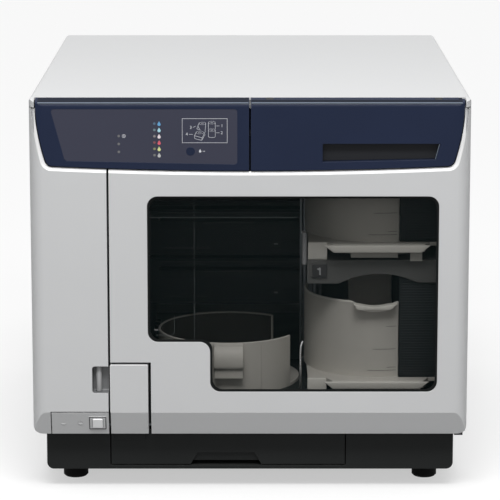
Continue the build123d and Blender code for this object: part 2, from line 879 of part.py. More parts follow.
tray_front_depth = drawer_front_depth + drawer_front_thickness
drawer_tray_top_z = drawer_high_z - 2
drawer_tray_low_z = base_z + base_wall + 4
with BuildPart() as drawer_tray:
    block(
        drawer_left_x + 3, drawer_right_x - 3, tray_front_depth, tray_front_depth + drawer_tray_length,
        drawer_tray_low_z, drawer_tray_top_z,
    )
    block(
        drawer_left_x + 3 + drawer_tray_wall, drawer_right_x - 3 - drawer_tray_wall,
        tray_front_depth + drawer_tray_wall, tray_front_depth + drawer_tray_length - drawer_tray_wall,
        drawer_tray_low_z + 12, drawer_tray_top_z + 1, mode=Mode.SUBTRACT,
    )
    with BuildSketch(Plane.XY.offset(drawer_tray_low_z + drawer_tray_wall)):
        with Locations((left_axis_x, depth(disc_axis_depth))):
            Circle(stacker_inner)
    extrude(amount=20, mode=Mode.SUBTRACT)
finish(drawer_tray, "drawer_tray")

with BuildPart() as drawer_tower:
    add(skin)
    block(
        door_left_x, tower_right_x, -1, front_piece_length, skirt_z - 1, tower_top_z,
        mode=Mode.INTERSECT,
    )
    for wall_x in (door_left_x, tower_right_x - door_flange):
        block(wall_x, wall_x + door_flange, chin_length + 1, drawer_front_depth - 2, skirt_z, tower_top_z)
        block(wall_x, wall_x + door_flange, 1.5, chin_length + 1, skirt_z + chin_height, tower_top_z)
    block(
        door_left_x, tower_right_x, 1.5, drawer_front_depth - 2, tower_top_z - door_flange, tower_top_z,
    )
    block(
        door_left_x, tower_right_x, drawer_front_depth - 4, drawer_front_depth - 2,
        skirt_z, tower_top_z,
    )
finish(drawer_tower, "drawer_tower")

with BuildPart() as drawer_rails:
    for rail_x in (drawer_left_x + 12, drawer_right_x - 12 - drawer_rail_width):
        block(
            rail_x, rail_x + drawer_rail_width, tray_front_depth + 4, tray_front_depth + drawer_tray_length + 20,
            base_z + base_wall, drawer_tray_low_z - drawer_rail_clearance,
        )
finish(drawer_rails, "drawer_rails")

# ==== cabin behind the window ====
cabin_front_depth = front_frame_depth + front_frame_thickness
with BuildPart() as cabin_floor:
    block(
        cabin_left_x, cabin_right_x, cabin_front_depth, cabin_back_depth,
        chassis_top_z, cabin_floor_z,
    )
    block(
        cabin_left_x + cabin_floor_thickness, cabin_right_x - cabin_floor_thickness,
        cabin_front_depth + cabin_floor_thickness, cabin_back_depth - cabin_floor_thickness,
        chassis_top_z - 1, cabin_floor_z - cabin_floor_thickness, mode=Mode.SUBTRACT,
    )
finish(cabin_floor, "cabin_floor")

with BuildPart() as cabin_left_wall:
    block(
        cabin_left_x - cabin_wall, cabin_left_x, cabin_front_depth, cabin_back_depth,
        chassis_top_z, printer_low_z + printer_height,
    )
finish(cabin_left_wall, "cabin_left_wall")

with BuildPart() as cabin_right_wall:
    block(
        cabin_right_x, cabin_right_x + cabin_wall, cabin_front_depth, cabin_back_depth + cabin_wall,
        chassis_top_z, cabin_top_z,
    )
finish(cabin_right_wall, "cabin_right_wall")

drive_left_x = left_axis_x - drive_width / 2
drive_right_x = left_axis_x + drive_width / 2
column_left_x = 46.0
column_right_x = 66.0
with BuildPart() as cabin_back_wall:
    block(
        column_right_x, cabin_right_x, cabin_back_depth, cabin_back_depth + cabin_wall,
        chassis_top_z, cabin_top_z,
    )
finish(cabin_back_wall, "cabin_back_wall")

# ==== stackers ====


def ring_sector(center, outer, inner, start, end):
    """Wall of a stacker seen from above, between two azimuths; 0 is the front and 90 the right."""
    first = start - 90
    size = end - start
    with BuildSketch() as sector:
        with BuildLine():
            out = CenterArc(center, outer, first, size)
            back = CenterArc(center, inner, first, size)
            Line(out @ 0, back @ 0)
            Line(out @ 1, back @ 1)
        make_face()
    return sector.sketch


def right_stacker(seat_z, name):
    """A stacker for fifty discs: a flange with a front lip, a cut-open wall and a round foot."""
    center = (right_axis_x, depth(disc_axis_depth))
    flange_z = seat_z + stacker_seat
    rim_z = flange_z + stacker_rim_height
    with BuildPart() as stacker:
        with BuildSketch(Plane.XY.offset(flange_z - flange_thickness)):
            with BuildLine():
                Polyline(
                    (51, depth(44)), (67, depth(44)), (72, depth(34)), (152, depth(34)),
                    (157, depth(44)), (177, depth(44)), (177, depth(168)), (78, depth(168)),
                    (51, depth(128)), close=True,
                )
            make_face()
        extrude(amount=flange_thickness)
        # front lip, sloping down
        with BuildSketch(Plane.YZ.offset(72)):
            with BuildLine():
                Polyline(
                    (depth(34), flange_z), (depth(30), flange_z - 3.2), (depth(30), flange_z - 5.8),
                    (depth(34), flange_z - flange_thickness), close=True,
                )
            make_face()
        extrude(amount=80)
        # left block under the flange
        block(51, 67, 44, 62, seat_z, flange_z - flange_thickness)
        block(88, 129, 40, 60, flange_z - 13, flange_z - flange_thickness)
        block(139.6, 150, 36, 40, flange_z - 15.2, flange_z - flange_thickness)
        # foot
        with BuildSketch(Plane.XY.offset(seat_z)):
            with Locations(center):
                Circle(stacker_inner - 16)
        extrude(amount=stacker_seat)
        # wall: left and front, and the rear piece
        for start, end in ((-104, 16.4), (163, 200)):
            with BuildSketch(Plane.XY.offset(flange_z)):
                add(ring_sector(center, stacker_outer, stacker_inner, start, end))
            extrude(amount=stacker_rim_height)
        # outward lip under the finger notch, then the notch
        notch_x = right_axis_x - 3.5
        notch_radius = 47
        with BuildSketch(front_plane(38)):
            with Locations((notch_x, rim_z + notch_radius - 4.5)):
                Circle(notch_radius + 2.5)
                Circle(notch_radius, mode=Mode.SUBTRACT)
            with Locations((notch_x, rim_z - 4)):
                Rectangle(34, 8, mode=Mode.INTERSECT)
        extrude(amount=-(disc_axis_depth - stacker_inner - 38 + 0.5))
        with BuildSketch(front_plane(30)):
            with Locations((notch_x, rim_z + notch_radius - 4.5)):
                Circle(notch_radius)
            with Locations((notch_x, rim_z)):
                Rectangle(38, 12, mode=Mode.INTERSECT)
        extrude(amount=-(disc_axis_depth - 40), mode=Mode.SUBTRACT)
    finish(stacker, name)


right_stacker(cabin_floor_z, "stacker_2")
right_stacker(cabin_floor_z + stacker_pitch, "stacker_1")

with BuildPart() as stacker_3:
    bowl_center = (left_axis_x, depth(disc_axis_depth))
    with BuildSketch(Plane.XY.offset(cabin_floor_z)):
        with Locations(bowl_center):
            Circle(stacker_outer)
    extrude(amount=cabin_floor_thickness)
    with BuildSketch(Plane.XY.offset(cabin_floor_z)):
        add(ring_sector(bowl_center, stacker_outer, stacker_inner, 140, 420))
    extrude(amount=bowl_rim_height)
    # grip at the front left
    grip_x = left_axis_x + 0.4
    with BuildSketch(Plane.YZ.offset(grip_x - 13)):
        with BuildLine():
            Polyline(
                (depth(46.5), cabin_floor_z + 46), (depth(42.5), cabin_floor_z + 45),
                (depth(42.5), cabin_floor_z + 40), (depth(38), cabin_floor_z + 30),
                (depth(38), cabin_floor_z + 27), (depth(41), cabin_floor_z + 26),
                (depth(41), cabin_floor_z + 17), (depth(46.5), cabin_floor_z + 16),
                close=True,
            )
        make_face()
    extrude(amount=26)
finish(stacker_3, "stacker_3")

# ==== shelf that carries the upper stacker ====
shelf_top_z = cabin_floor_z + stacker_pitch
with BuildPart() as stacker_shelf:
    with BuildSketch(Plane.XY.offset(shelf_top_z - shelf_thickness)):
        with BuildLine():
            Polyline(
                (50, depth(42)), (cabin_right_x, depth(42)), (cabin_right_x, depth(cabin_back_depth)),
                (80, depth(cabin_back_depth)), (50, depth(130)), close=True,
            )
        make_face()
    extrude(amount=shelf_thickness)
    # front skirt with its arch
    with BuildSketch(front_plane(42)):
        with BuildLine():
            Polyline(
                (50, shelf_top_z), (cabin_right_x, shelf_top_z), (cabin_right_x, 180), (146, 180),
                close=False,
            )
            ThreePointArc((146, 180), (110, 187.5), (78, 179))
            Polyline((78, 179), (50, 179), (50, shelf_top_z))
        make_face()
    extrude(amount=-3)
    with BuildSketch(front_plane(41)):
        with Locations((59.5, 191.8)):
            Rectangle(14, 12.4, mode=Mode.ADD)
    extrude(amount=-1)
finish(stacker_shelf, "stacker_shelf")

# ==== drives ====
with BuildPart() as drive_cage:
    for wall_x in (drive_left_x - cage_wall, drive_right_x):
        block(
            wall_x, wall_x + cage_wall, drive_depth + 6, drive_depth + drive_length,
            chassis_top_z, printer_low_z,
        )
    block(
        drive_left_x, drive_right_x, drive_depth + 6, drive_depth + drive_length,
        drive_low_z - cage_wall, drive_low_z,
    )
    block(
        drive_left_x, drive_right_x, drive_depth + 6, drive_depth + drive_length,
        drive_low_z + drive_pitch - cage_wall, drive_low_z + drive_pitch,
    )
    block(
        drive_left_x, drive_right_x, drive_depth + 6, drive_depth + drive_length,
        printer_low_z - cage_wall, printer_low_z,
    )
finish(drive_cage, "drive_cage")


def make_tray(low_z, name, front_thickness):
    """A disc tray: a plate with the disc's well, a finger cut and a front lip."""
    tray_left_x = left_axis_x - tray_width / 2
    tray_right_x = left_axis_x + tray_width / 2
    disc_depth = disc_axis_depth + tray_travel
    with BuildPart() as tray:
        block(
            tray_left_x, tray_right_x, drive_depth - bezel_thickness, drive_depth + tray_length,
            low_z, low_z + tray_thickness,
        )
        with BuildSketch(Plane.XY.offset(low_z + tray_thickness)):
            with Locations((left_axis_x, depth(disc_depth))):
                Circle(disc_radius + disc_clearance)
        extrude(amount=-disc_well_depth, mode=Mode.SUBTRACT)
        with BuildSketch(Plane.XY.offset(low_z + tray_thickness)):
            with Locations((left_axis_x, depth(disc_depth))):
                Circle(24)
            with Locations((left_axis_x, depth(disc_depth + 40))):
                Rectangle(32, 60)
        extrude(amount=-tray_thickness, mode=Mode.SUBTRACT)
        block(
            tray_left_x - 1, tray_right_x + 1, drive_depth - bezel_thickness - 3, drive_depth - bezel_thickness,
            low_z - front_thickness, low_z + tray_thickness + front_thickness,
        )
    finish(tray, name)


def drive_unit(low_z, case_name, tray_name):
    """A half-height disc drive with its front bezel, button, light and sliding tray."""
    tray_z = low_z + drive_height - 16
    with BuildPart() as case:
        block(drive_left_x, drive_right_x, drive_depth, drive_depth + drive_length, low_z, low_z + drive_height)
        block(
            drive_left_x - 0.5, drive_right_x + 0.5, drive_depth - bezel_thickness, drive_depth,
            low_z - 0.5, low_z + drive_height + 0.5,
        )
        block(
            left_axis_x - tray_width / 2 - tray_clearance, left_axis_x + tray_width / 2 + tray_clearance,
            drive_depth - bezel_thickness - 1, drive_depth + tray_length + 4,
            tray_z - tray_clearance, tray_z + tray_thickness + 3, mode=Mode.SUBTRACT,
        )
        block(
            drive_right_x - 24, drive_right_x - 12, drive_depth - bezel_thickness - 1,
            drive_depth - bezel_thickness, low_z + 8, low_z + 13,
        )
    finish(case, case_name)
    make_tray(tray_z, tray_name, 0.4)


drive_unit(drive_low_z, "drive_2_case", "drive_2_tray")
drive_unit(drive_low_z + drive_pitch, "drive_1_case", "drive_1_tray")

# ==== printer ====
printer_tray_z = printer_low_z + 6
carriage_depth = drive_depth + 60
carriage_z = printer_tray_z + tray_thickness + 6
carriage_shaft_z = printer_low_z + printer_height - 18
with BuildPart() as printer_case:
    block(
        drive_left_x - cage_wall, drive_right_x + cage_wall, drive_depth - bezel_thickness,
        drive_depth + printer_length, printer_low_z, printer_low_z + printer_height,
    )
    block(
        drive_left_x - cage_wall + printer_wall, drive_right_x + cage_wall - printer_wall,
        drive_depth, drive_depth + printer_length - printer_wall,
        printer_low_z + printer_wall, printer_low_z + printer_height - printer_wall,
        mode=Mode.SUBTRACT,
    )
    block(
        left_axis_x - tray_width / 2 - 1.5, left_axis_x + tray_width / 2 + 1.5,
        drive_depth - bezel_thickness - 1, drive_depth + 1,
        printer_tray_z - 2, printer_tray_z + tray_thickness + 4, mode=Mode.SUBTRACT,
    )
    for rail_x in (drive_left_x, drive_right_x - 8):
        block(
            rail_x, rail_x + 8, drive_depth, drive_depth + printer_length - printer_wall,
            printer_low_z + printer_wall, printer_tray_z + tray_thickness + 2,
        )
finish(printer_case, "printer_case")
make_tray(printer_tray_z, "printer_tray", 0.4)

with BuildPart() as carriage_shaft:
    with BuildSketch(Plane.YZ.offset(drive_left_x - cage_wall + printer_wall)):
        with Locations((depth(carriage_depth), carriage_shaft_z)):
            Circle(shaft_radius)
    extrude(amount=drive_width + 2 * cage_wall - 2 * printer_wall)
finish(carriage_shaft, "carriage_shaft")

with BuildPart() as print_carriage:
    block(
        left_axis_x - carriage_length / 2, left_axis_x + carriage_length / 2,
        carriage_depth - 20, carriage_depth + 10, carriage_z, printer_low_z + printer_height - 8,
    )
    fillet(print_carriage.edges().filter_by(Axis.X), 3)
    with BuildSketch(Plane.YZ.offset(left_axis_x - carriage_length / 2)):
        with Locations((depth(carriage_depth), carriage_shaft_z)):
            Circle(shaft_radius + shaft_clearance)
    extrude(amount=carriage_length, mode=Mode.SUBTRACT)
finish(print_carriage, "print_carriage")

# ==== robot arm ====
column_back_depth = 172.0
column_plate = 6.0
with BuildPart() as arm_column:
    block(
        column_left_x, column_right_x, column_back_depth - 4, column_back_depth,
        cabin_floor_z, cabin_top_z + 10,
    )
    for plate_z in (cabin_floor_z, cabin_top_z + 4):
        block(
            column_left_x, column_right_x, column_depth - 6, column_back_depth - 4,
            plate_z, plate_z + column_plate,
        )
    with BuildSketch(Plane.XY.offset(cabin_floor_z)):
        with Locations((lift_screw_x, depth(column_depth))):
            Circle(shaft_radius + shaft_clearance)
        with Locations((guide_shaft_x, depth(column_depth))):
            Circle(shaft_radius)
    extrude(amount=body_height, mode=Mode.SUBTRACT)
finish(arm_column, "arm_column")

shaft_top_z = cabin_top_z + 4 + column_plate
with BuildPart() as guide_shaft:
    with BuildSketch(Plane.XY.offset(cabin_floor_z)):
        with Locations((guide_shaft_x, depth(column_depth))):
            Circle(shaft_radius)
    extrude(amount=shaft_top_z - cabin_floor_z)
finish(guide_shaft, "guide_shaft")

with BuildPart() as lift_screw:
    with BuildSketch(Plane.XY.offset(cabin_floor_z + 0.2)):
        with Locations((lift_screw_x, depth(column_depth))):
            Circle(shaft_radius)
    extrude(amount=shaft_top_z - cabin_floor_z - 0.4)
finish(lift_screw, "lift_screw")

with BuildPart() as lift_motor:
    with BuildSketch(Plane.XY.offset(shaft_top_z)):
        with Locations((lift_screw_x + 3, depth(column_depth))):
            RectangleRounded(28, 28, 3)
    extrude(amount=inner_top_z - shaft_top_z - 2)
finish(lift_motor, "lift_motor")

arm_low_z = arm_top_z - arm_thickness
with BuildPart() as arm_carriage:
    block(45.5, 65, column_depth - 6, column_depth + 6, arm_low_z - 8, arm_top_z + 2)
    with BuildSketch(Plane.XY.offset(arm_low_z - 8)):
        with Locations((arm_pivot_x, depth(arm_pivot_depth))):
            Circle(9)
        with Locations((arm_pivot_x + 3.5, depth(arm_pivot_depth + 5))):
            Rectangle(9, 10)
    extrude(amount=7.6)
    with BuildSketch(Plane.XY.offset(arm_low_z - 0.4)):
        with Locations((arm_pivot_x, depth(arm_pivot_depth))):
            Circle(3)
    extrude(amount=arm_thickness + 0.4)
    with BuildSketch(Plane.XY.offset(arm_low_z - 8)):
        with Locations((lift_screw_x, depth(column_depth))):
            Circle(shaft_radius + screw_clearance)
        with Locations((guide_shaft_x, depth(column_depth))):
            Circle(shaft_radius + shaft_clearance)
    extrude(amount=body_height, mode=Mode.SUBTRACT)
finish(arm_carriage, "arm_carriage")

arm_plane = Plane(
    origin=(arm_pivot_x, depth(arm_pivot_depth), arm_low_z),
    x_dir=(cos(radians(arm_angle)), -sin(radians(-arm_angle)), 0),
    z_dir=(0, 0, 1),
)
with BuildPart() as gripper_arm:
    with BuildSketch(arm_plane):
        with BuildLine():
            Polyline(
                (0, arm_width / 2), (arm_reach, arm_width / 2 - 2), (arm_reach, -arm_width / 2 + 2),
                (0, -arm_width / 2), close=True,
            )
        make_face()
        Circle(7)
        with Locations((arm_reach, 0)):
            Circle(gripper_radius - 2)
        Circle(3 + pin_clearance, mode=Mode.SUBTRACT)
    extrude(amount=arm_thickness)
finish(gripper_arm, "gripper_arm")

with BuildPart() as gripper_head:
    with BuildSketch(Plane.XY.offset(claw_low_z)):
        with Locations((left_axis_x, depth(disc_axis_depth))):
            Circle(claw_radius)
    extrude(amount=4)
    with BuildSketch(Plane.XY.offset(claw_low_z + 4)):
        with Locations((left_axis_x, depth(disc_axis_depth))):
            Circle(gripper_radius)
    extrude(amount=arm_low_z - claw_low_z - 4)
finish(gripper_head, "gripper_head")

# ==== power, electronics, rear sockets and fan ====
with BuildPart() as power_supply:
    block(-180, -104, 250, 400, chassis_top_z, chassis_top_z + 60)
finish(power_supply, "power_supply")

with BuildPart() as main_board:
    block(-100.0, -98.4, 200, 440, chassis_top_z, chassis_top_z + 150)
finish(main_board, "main_board")

with BuildPart() as rear_sockets:
    block(
        inlet_x - inlet_width / 2, inlet_x + inlet_width / 2, body_length - 26, body_length,
        inlet_z - inlet_height / 2, inlet_z + inlet_height / 2,
    )
    block(
        inlet_x - inlet_width / 2 + 2, inlet_x + inlet_width / 2 - 2, body_length - 16, body_length,
        inlet_z - inlet_height / 2 + 2, inlet_z + inlet_height / 2 - 2, mode=Mode.SUBTRACT,
    )
    block(
        usb_x - usb_width / 2, usb_x + usb_width / 2, body_length - 18, body_length,
        usb_z - usb_height / 2, usb_z + usb_height / 2,
    )
    block(
        usb_x - usb_width / 2 + 1.5, usb_x + usb_width / 2 - 1.5, body_length - 12, body_length,
        usb_z - usb_height / 2 + 1.5, usb_z + usb_height / 2 - 1.5, mode=Mode.SUBTRACT,
    )
finish(rear_sockets, "rear_sockets")

fan_front_y = rear_y - shell_wall - fan_thickness
with BuildPart() as fan_frame:
    with BuildSketch(Plane.XZ.offset(-(rear_y - shell_wall))):
        with Locations((fan_x, fan_z)):
            RectangleRounded(fan_size, fan_size, 3)
            Circle(fan_radius + 0.8, mode=Mode.SUBTRACT)
    extrude(amount=fan_thickness)
    with BuildSketch(Plane.XZ.offset(-fan_front_y - 2)):
        with Locations((fan_x, fan_z)):
            Circle(fan_hub_radius)
            Rectangle(fan_size - 2, 3)
            Rectangle(3, fan_size - 2)
    extrude(amount=2)
    with BuildSketch(Plane.XZ.offset(-fan_front_y - 2)):
        with Locations((fan_x, fan_z)):
            Circle(2)
    extrude(amount=-12)
finish(fan_frame, "fan_frame")

with BuildPart() as fan_rotor:
    with BuildSketch(Plane.XZ.offset(-fan_front_y - 17)):
        with Locations((fan_x, fan_z)):
            Circle(fan_hub_radius)
            with PolarLocations(fan_hub_radius + 7, 7):
                Rectangle(17, 5)
    extrude(amount=14)
    with BuildSketch(Plane.XZ.offset(-fan_front_y - 17)):
        with Locations((fan_x, fan_z)):
            Circle(2 + pin_clearance)
    extrude(amount=14, mode=Mode.SUBTRACT)
finish(fan_rotor, "fan_rotor")
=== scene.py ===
"""Looks of the disc label printer: its finishes, small pieces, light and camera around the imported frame."""
import math

import bmesh
import bpy
from mathutils import Matrix, Vector


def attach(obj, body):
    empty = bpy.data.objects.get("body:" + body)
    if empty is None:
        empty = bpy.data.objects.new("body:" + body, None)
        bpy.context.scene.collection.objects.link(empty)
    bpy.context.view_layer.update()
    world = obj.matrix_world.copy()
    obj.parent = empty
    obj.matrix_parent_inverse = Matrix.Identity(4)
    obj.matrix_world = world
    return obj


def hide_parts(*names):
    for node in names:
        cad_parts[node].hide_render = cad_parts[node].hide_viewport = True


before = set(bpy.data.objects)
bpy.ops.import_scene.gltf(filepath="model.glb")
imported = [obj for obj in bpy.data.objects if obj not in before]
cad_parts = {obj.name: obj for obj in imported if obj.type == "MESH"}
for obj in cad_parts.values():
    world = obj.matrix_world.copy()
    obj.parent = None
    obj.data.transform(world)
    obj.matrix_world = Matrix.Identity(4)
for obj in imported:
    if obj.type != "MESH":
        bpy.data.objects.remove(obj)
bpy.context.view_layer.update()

# ---- places of the printer, in millimetres: X, depth behind the front plane, Z ----
MM = 0.001
FRONT_Y = -0.2325
REAR_DEPTH = 465.0
SKIRT_Z = 53.0
CHIN_HEIGHT = 20.6
CHIN_LENGTH = 7.0
CHIN_ANGLE = math.atan2(CHIN_LENGTH, CHIN_HEIGHT)
BROW_CREASE_Z = 344.0
BROW_SLOPE = 2.5
OVERLAY_DEPTH = 0.15
PRINT_DEPTH = 0.08
RIGHT_AXIS_X = 112.5
LEFT_AXIS_X = -19.2
DISC_AXIS_DEPTH = 108.5
STACKER_WALL_RADIUS = 62.5
STACKER_OUTER_RADIUS = 63.5
STACKER_1_SEAT_Z = 199.8
STACKER_2_SEAT_Z = 78.0
STACKER_FLANGE = 15.7
STACKER_RIM = 83.3
NOTCH_X = RIGHT_AXIS_X - 3.5
NOTCH_RADIUS = 47.0
NOTCH_HALF_WIDTH = 20.0
BOWL_RIM_Z = 124.0
DRIVE_1_Z = 178.0
DRIVE_2_Z = 132.0
TRAY_RISE = 27.0
CARTRIDGE_X = 8.4
CARTRIDGE_PITCH = 27.33
INK_COUNT = 6
INK_LOW_Z = 299.7
INK_PITCH = 5.42


def spot(x, depth, z):
    """A point from X, depth behind the front plane and Z, given in millimetres."""
    return Vector((x * MM, FRONT_Y + depth * MM, z * MM))


# ==== finishes ====


def set_inputs(tree, node, values):
    """Feeds a node's inputs, by name with underscores for spaces, from outputs or with values."""
    for label, value in values.items():
        socket = node.inputs[label.replace("_", " ")]
        if isinstance(value, bpy.types.NodeSocket):
            tree.links.new(value, socket)
        else:
            socket.default_value = value
    return node


def add_node(tree, kind, **values):
    """A shader node with its inputs fed."""
    return set_inputs(tree, tree.nodes.new("ShaderNode" + kind), values)


def combine(tree, operation, first, second, clamp=False):
    """The product or the maximum of two outputs."""
    node = add_node(tree, "Math")
    node.operation = operation
    node.use_clamp = clamp
    tree.links.new(first, node.inputs[0])
    tree.links.new(second, node.inputs[1])
    return node.outputs["Value"]


def object_place(tree):
    """The object's own coordinates."""
    return add_node(tree, "TexCoord").outputs["Object"]


def effect_group(name, inputs, outputs):
    """An empty shader group with named inputs and outputs."""
    tree = bpy.data.node_groups.new(name, "ShaderNodeTree")
    for label, value in inputs.items():
        socket = tree.interface.new_socket(name=label, in_out="INPUT", socket_type="NodeSocketFloat")
        socket.default_value = value
    for label, kind in outputs.items():
        tree.interface.new_socket(name=label, in_out="OUTPUT", socket_type=kind)
    return tree, tree.nodes.new("NodeGroupInput"), tree.nodes.new("NodeGroupOutput")


def moulded_grain_group():
    """Fine grain and broad patches of a moulded or painted surface."""
    tree, entry, leave = effect_group(
        "moulded_grain",
        {"Grain Scale": 1800.0, "Patch Scale": 12.0},
        {"Grain": "NodeSocketFloat", "Patch": "NodeSocketFloat"},
    )
    for label, detail, output in (("Grain Scale", 3.0, "Grain"), ("Patch Scale", 4.0, "Patch")):
        noise = add_node(
            tree, "TexNoise", Vector=object_place(tree), Scale=entry.outputs[label], Detail=detail,
            Roughness=0.6,
        )
        tree.links.new(noise.outputs["Fac"], leave.inputs[output])
    return tree


def edge_wear_and_highlight_group():
    """Rounded edge normals, and a broken mask that lightens edges, both as rubbed wear and as a painted
    highlight where edges catch the light.
    """
    tree, entry, leave = effect_group(
        "edge_wear_and_highlight",
        {"Radius": 0.0004, "Amount": 1.0},
        {"Mask": "NodeSocketFloat", "Normal": "NodeSocketVector"},
    )
    rounded = add_node(tree, "Bevel", Radius=entry.outputs["Radius"])
    rounded.samples = 6
    turn = add_node(tree, "VectorMath")
    turn.operation = "DOT_PRODUCT"
    tree.links.new(rounded.outputs["Normal"], turn.inputs[0])
    tree.links.new(add_node(tree, "NewGeometry").outputs["Normal"], turn.inputs[1])
    bend = add_node(tree, "MapRange", Value=turn.outputs["Value"], From_Min=0.995, From_Max=0.8)
    breaks = add_node(tree, "TexNoise", Vector=object_place(tree), Scale=90.0, Detail=5.0)
    broken = combine(tree, "MULTIPLY", bend.outputs["Result"], breaks.outputs["Fac"])
    scaled = combine(tree, "MULTIPLY", broken, entry.outputs["Amount"], clamp=True)
    set_inputs(tree, leave, {"Mask": scaled, "Normal": rounded.outputs["Normal"]})
    return tree


def settled_dust_group():
    """A mask on surfaces that face up, in loose patches."""
    tree, entry, leave = effect_group(
        "settled_dust", {"Amount": 0.2, "Scale": 40.0}, {"Mask": "NodeSocketFloat"}
    )
    split = add_node(tree, "SeparateXYZ", Vector=add_node(tree, "NewGeometry").outputs["Normal"])
    upward = add_node(tree, "MapRange", Value=split.outputs["Z"], From_Min=0.6, From_Max=1.0)
    patches = add_node(
        tree, "TexNoise", Vector=object_place(tree), Scale=entry.outputs["Scale"], Detail=6.0
    )
    lying = combine(tree, "MULTIPLY", upward.outputs["Result"], patches.outputs["Fac"])
    tree.links.new(combine(tree, "MULTIPLY", lying, entry.outputs["Amount"]), leave.inputs["Mask"])
    return tree


def drawn_streaks_group():
    """Long fine streaks along Z, as on drawn or brushed metal."""
    tree, entry, leave = effect_group(
        "drawn_streaks", {"Fineness": 900.0}, {"Streak": "NodeSocketFloat"}
    )
    stretch = add_node(tree, "Mapping", Vector=object_place(tree), Scale=(1.0, 1.0, 0.03))
    noise = add_node(
        tree, "TexNoise", Vector=stretch.outputs["Vector"], Scale=entry.outputs["Fineness"], Detail=4.0
    )
    tree.links.new(noise.outputs["Fac"], leave.inputs["Streak"])
    return tree


moulded_grain = moulded_grain_group()
edge_wear_and_highlight = edge_wear_and_highlight_group()
settled_dust = settled_dust_group()
drawn_streaks = drawn_streaks_group()


def place_group(tree, group, **values):
    """One use of an effect group in a finish, with its own values."""
    node = tree.nodes.new("ShaderNodeGroup")
    node.node_tree = group
    return set_inputs(tree, node, values)


def full_colour(tone):
    """Four parts from a grey or from three parts; an output stays as it is."""
    if isinstance(tone, float):
        tone = (tone, tone, tone)
    return (*tone, 1.0) if isinstance(tone, tuple) else tone


def mix_colours(tree, mask, low, high):
    """The colour that goes from low to high with a mask."""
    blend = tree.nodes.new("ShaderNodeMix")
    blend.data_type = "RGBA"
    set_inputs(tree, blend, {"A": full_colour(low), "B": full_colour(high), "Factor": mask})
    return blend.outputs["Result"]


def spread(tree, mask, low, high):
    """A value between low and high from a mask that lies mostly between 0.3 and 0.7."""
    span = add_node(tree, "MapRange", Value=mask, From_Min=0.3, From_Max=0.7, To_Min=low, To_Max=high)
    return span.outputs["Result"]


def new_finish(name):
    """An empty material with its shader, and the tree to build in."""
    finish = bpy.data.materials.new(name)
    finish.use_nodes = True
    tree = finish.node_tree
    return finish, tree, tree.nodes["Principled BSDF"]


def shade(tree, shader, colour, rough, height, depth, edges=None):
    """Links colour, roughness and a fine relief, in millimetres, to a shader."""
    relief = add_node(tree, "Bump", Distance=depth * MM, Height=height)
    if edges:
        tree.links.new(edges, relief.inputs["Normal"])
    set_inputs(tree, shader, {"Base Color": colour, "Roughness": rough, "Normal": relief.outputs["Normal"]})


def moulded(
    name, light, dark, rough, grain, grain_depth,
    edge=None, radius=0.4, wear_and_highlight_amount=0.6, dust=0.0, flake=0.0, coat=0.0, coat_rough=0.15, patch=9.0, shine=0.5,
):
    """A moulded or painted finish: patches of two tones, grain, edges lightened as rubbed wear and as a
    painted highlight, and a little dust.

    Colours are three parts or one grey; the grain's depth and the edges' radius are in millimetres.
    """
    finish, tree, shader = new_finish(name)
    texture = place_group(tree, moulded_grain, Grain_Scale=grain, Patch_Scale=patch)
    wear_and_highlight = place_group(tree, edge_wear_and_highlight, Radius=radius * MM, Amount=wear_and_highlight_amount)
    colour = mix_colours(tree, spread(tree, texture.outputs["Patch"], 0.0, 1.0), dark, light)
    if flake:
        speck = place_group(tree, moulded_grain, Grain_Scale=5200.0, Patch_Scale=700.0)
        bright = tuple(min(1.0, part * (1.0 + flake)) for part in light)
        colour = mix_colours(tree, spread(tree, speck.outputs["Grain"], 0.0, 0.6), colour, bright)
    # the edge colour stands for rubbed wear and also paints a highlight along the edges
    if edge:
        colour = mix_colours(tree, wear_and_highlight.outputs["Mask"], colour, edge)
    if dust:
        lying = place_group(tree, settled_dust, Amount=dust)
        colour = mix_colours(tree, lying.outputs["Mask"], colour, (0.55, 0.53, 0.5))
    roughness = spread(tree, texture.outputs["Patch"], rough - 0.04, rough + 0.05)
    shade(
        tree, shader, colour, roughness, texture.outputs["Grain"], grain_depth, wear_and_highlight.outputs["Normal"]
    )
    gloss = {"Specular IOR Level": shine, "Coat Weight": coat, "Coat Roughness": coat_rough}
    set_inputs(tree, shader, gloss)
    return finish


def drawn_metal(name, light, dark, rough, fineness):
    """A bare or plated metal with fine streaks."""
    finish, tree, shader = new_finish(name)
    lines = place_group(tree, drawn_streaks, Fineness=fineness)
    texture = place_group(tree, moulded_grain, Grain_Scale=2500.0, Patch_Scale=35.0)
    wear_and_highlight = place_group(tree, edge_wear_and_highlight, Radius=0.3 * MM, Amount=0.5)
    colour = mix_colours(tree, spread(tree, lines.outputs["Streak"], 0.0, 1.0), dark, light)
    # edges lightened towards near white: rubbed wear and a painted highlight
    colour = mix_colours(tree, wear_and_highlight.outputs["Mask"], colour, (0.85, 0.85, 0.86))
    roughness = spread(tree, texture.outputs["Patch"], rough - 0.06, rough + 0.08)
    shade(tree, shader, colour, roughness, lines.outputs["Streak"], 0.01, wear_and_highlight.outputs["Normal"])
    shader.inputs["Metallic"].default_value = 1.0
    return finish


def smoked_sheet(name, tint, alpha, rough):
    """A clear smoked sheet with faint smears."""
    finish, tree, shader = new_finish(name)
    texture = place_group(tree, moulded_grain, Grain_Scale=400.0, Patch_Scale=18.0)
    smear = texture.outputs["Patch"]
    colour = mix_colours(tree, smear, tint, tuple(part * 1.3 for part in tint))
    tree.links.new(spread(tree, smear, alpha - 0.015, alpha + 0.015), shader.inputs["Alpha"])
    shade(tree, shader, colour, spread(tree, smear, rough, rough + 0.04), texture.outputs["Grain"], 0.002)
    shader.inputs["Specular IOR Level"].default_value = 0.07
    return finish


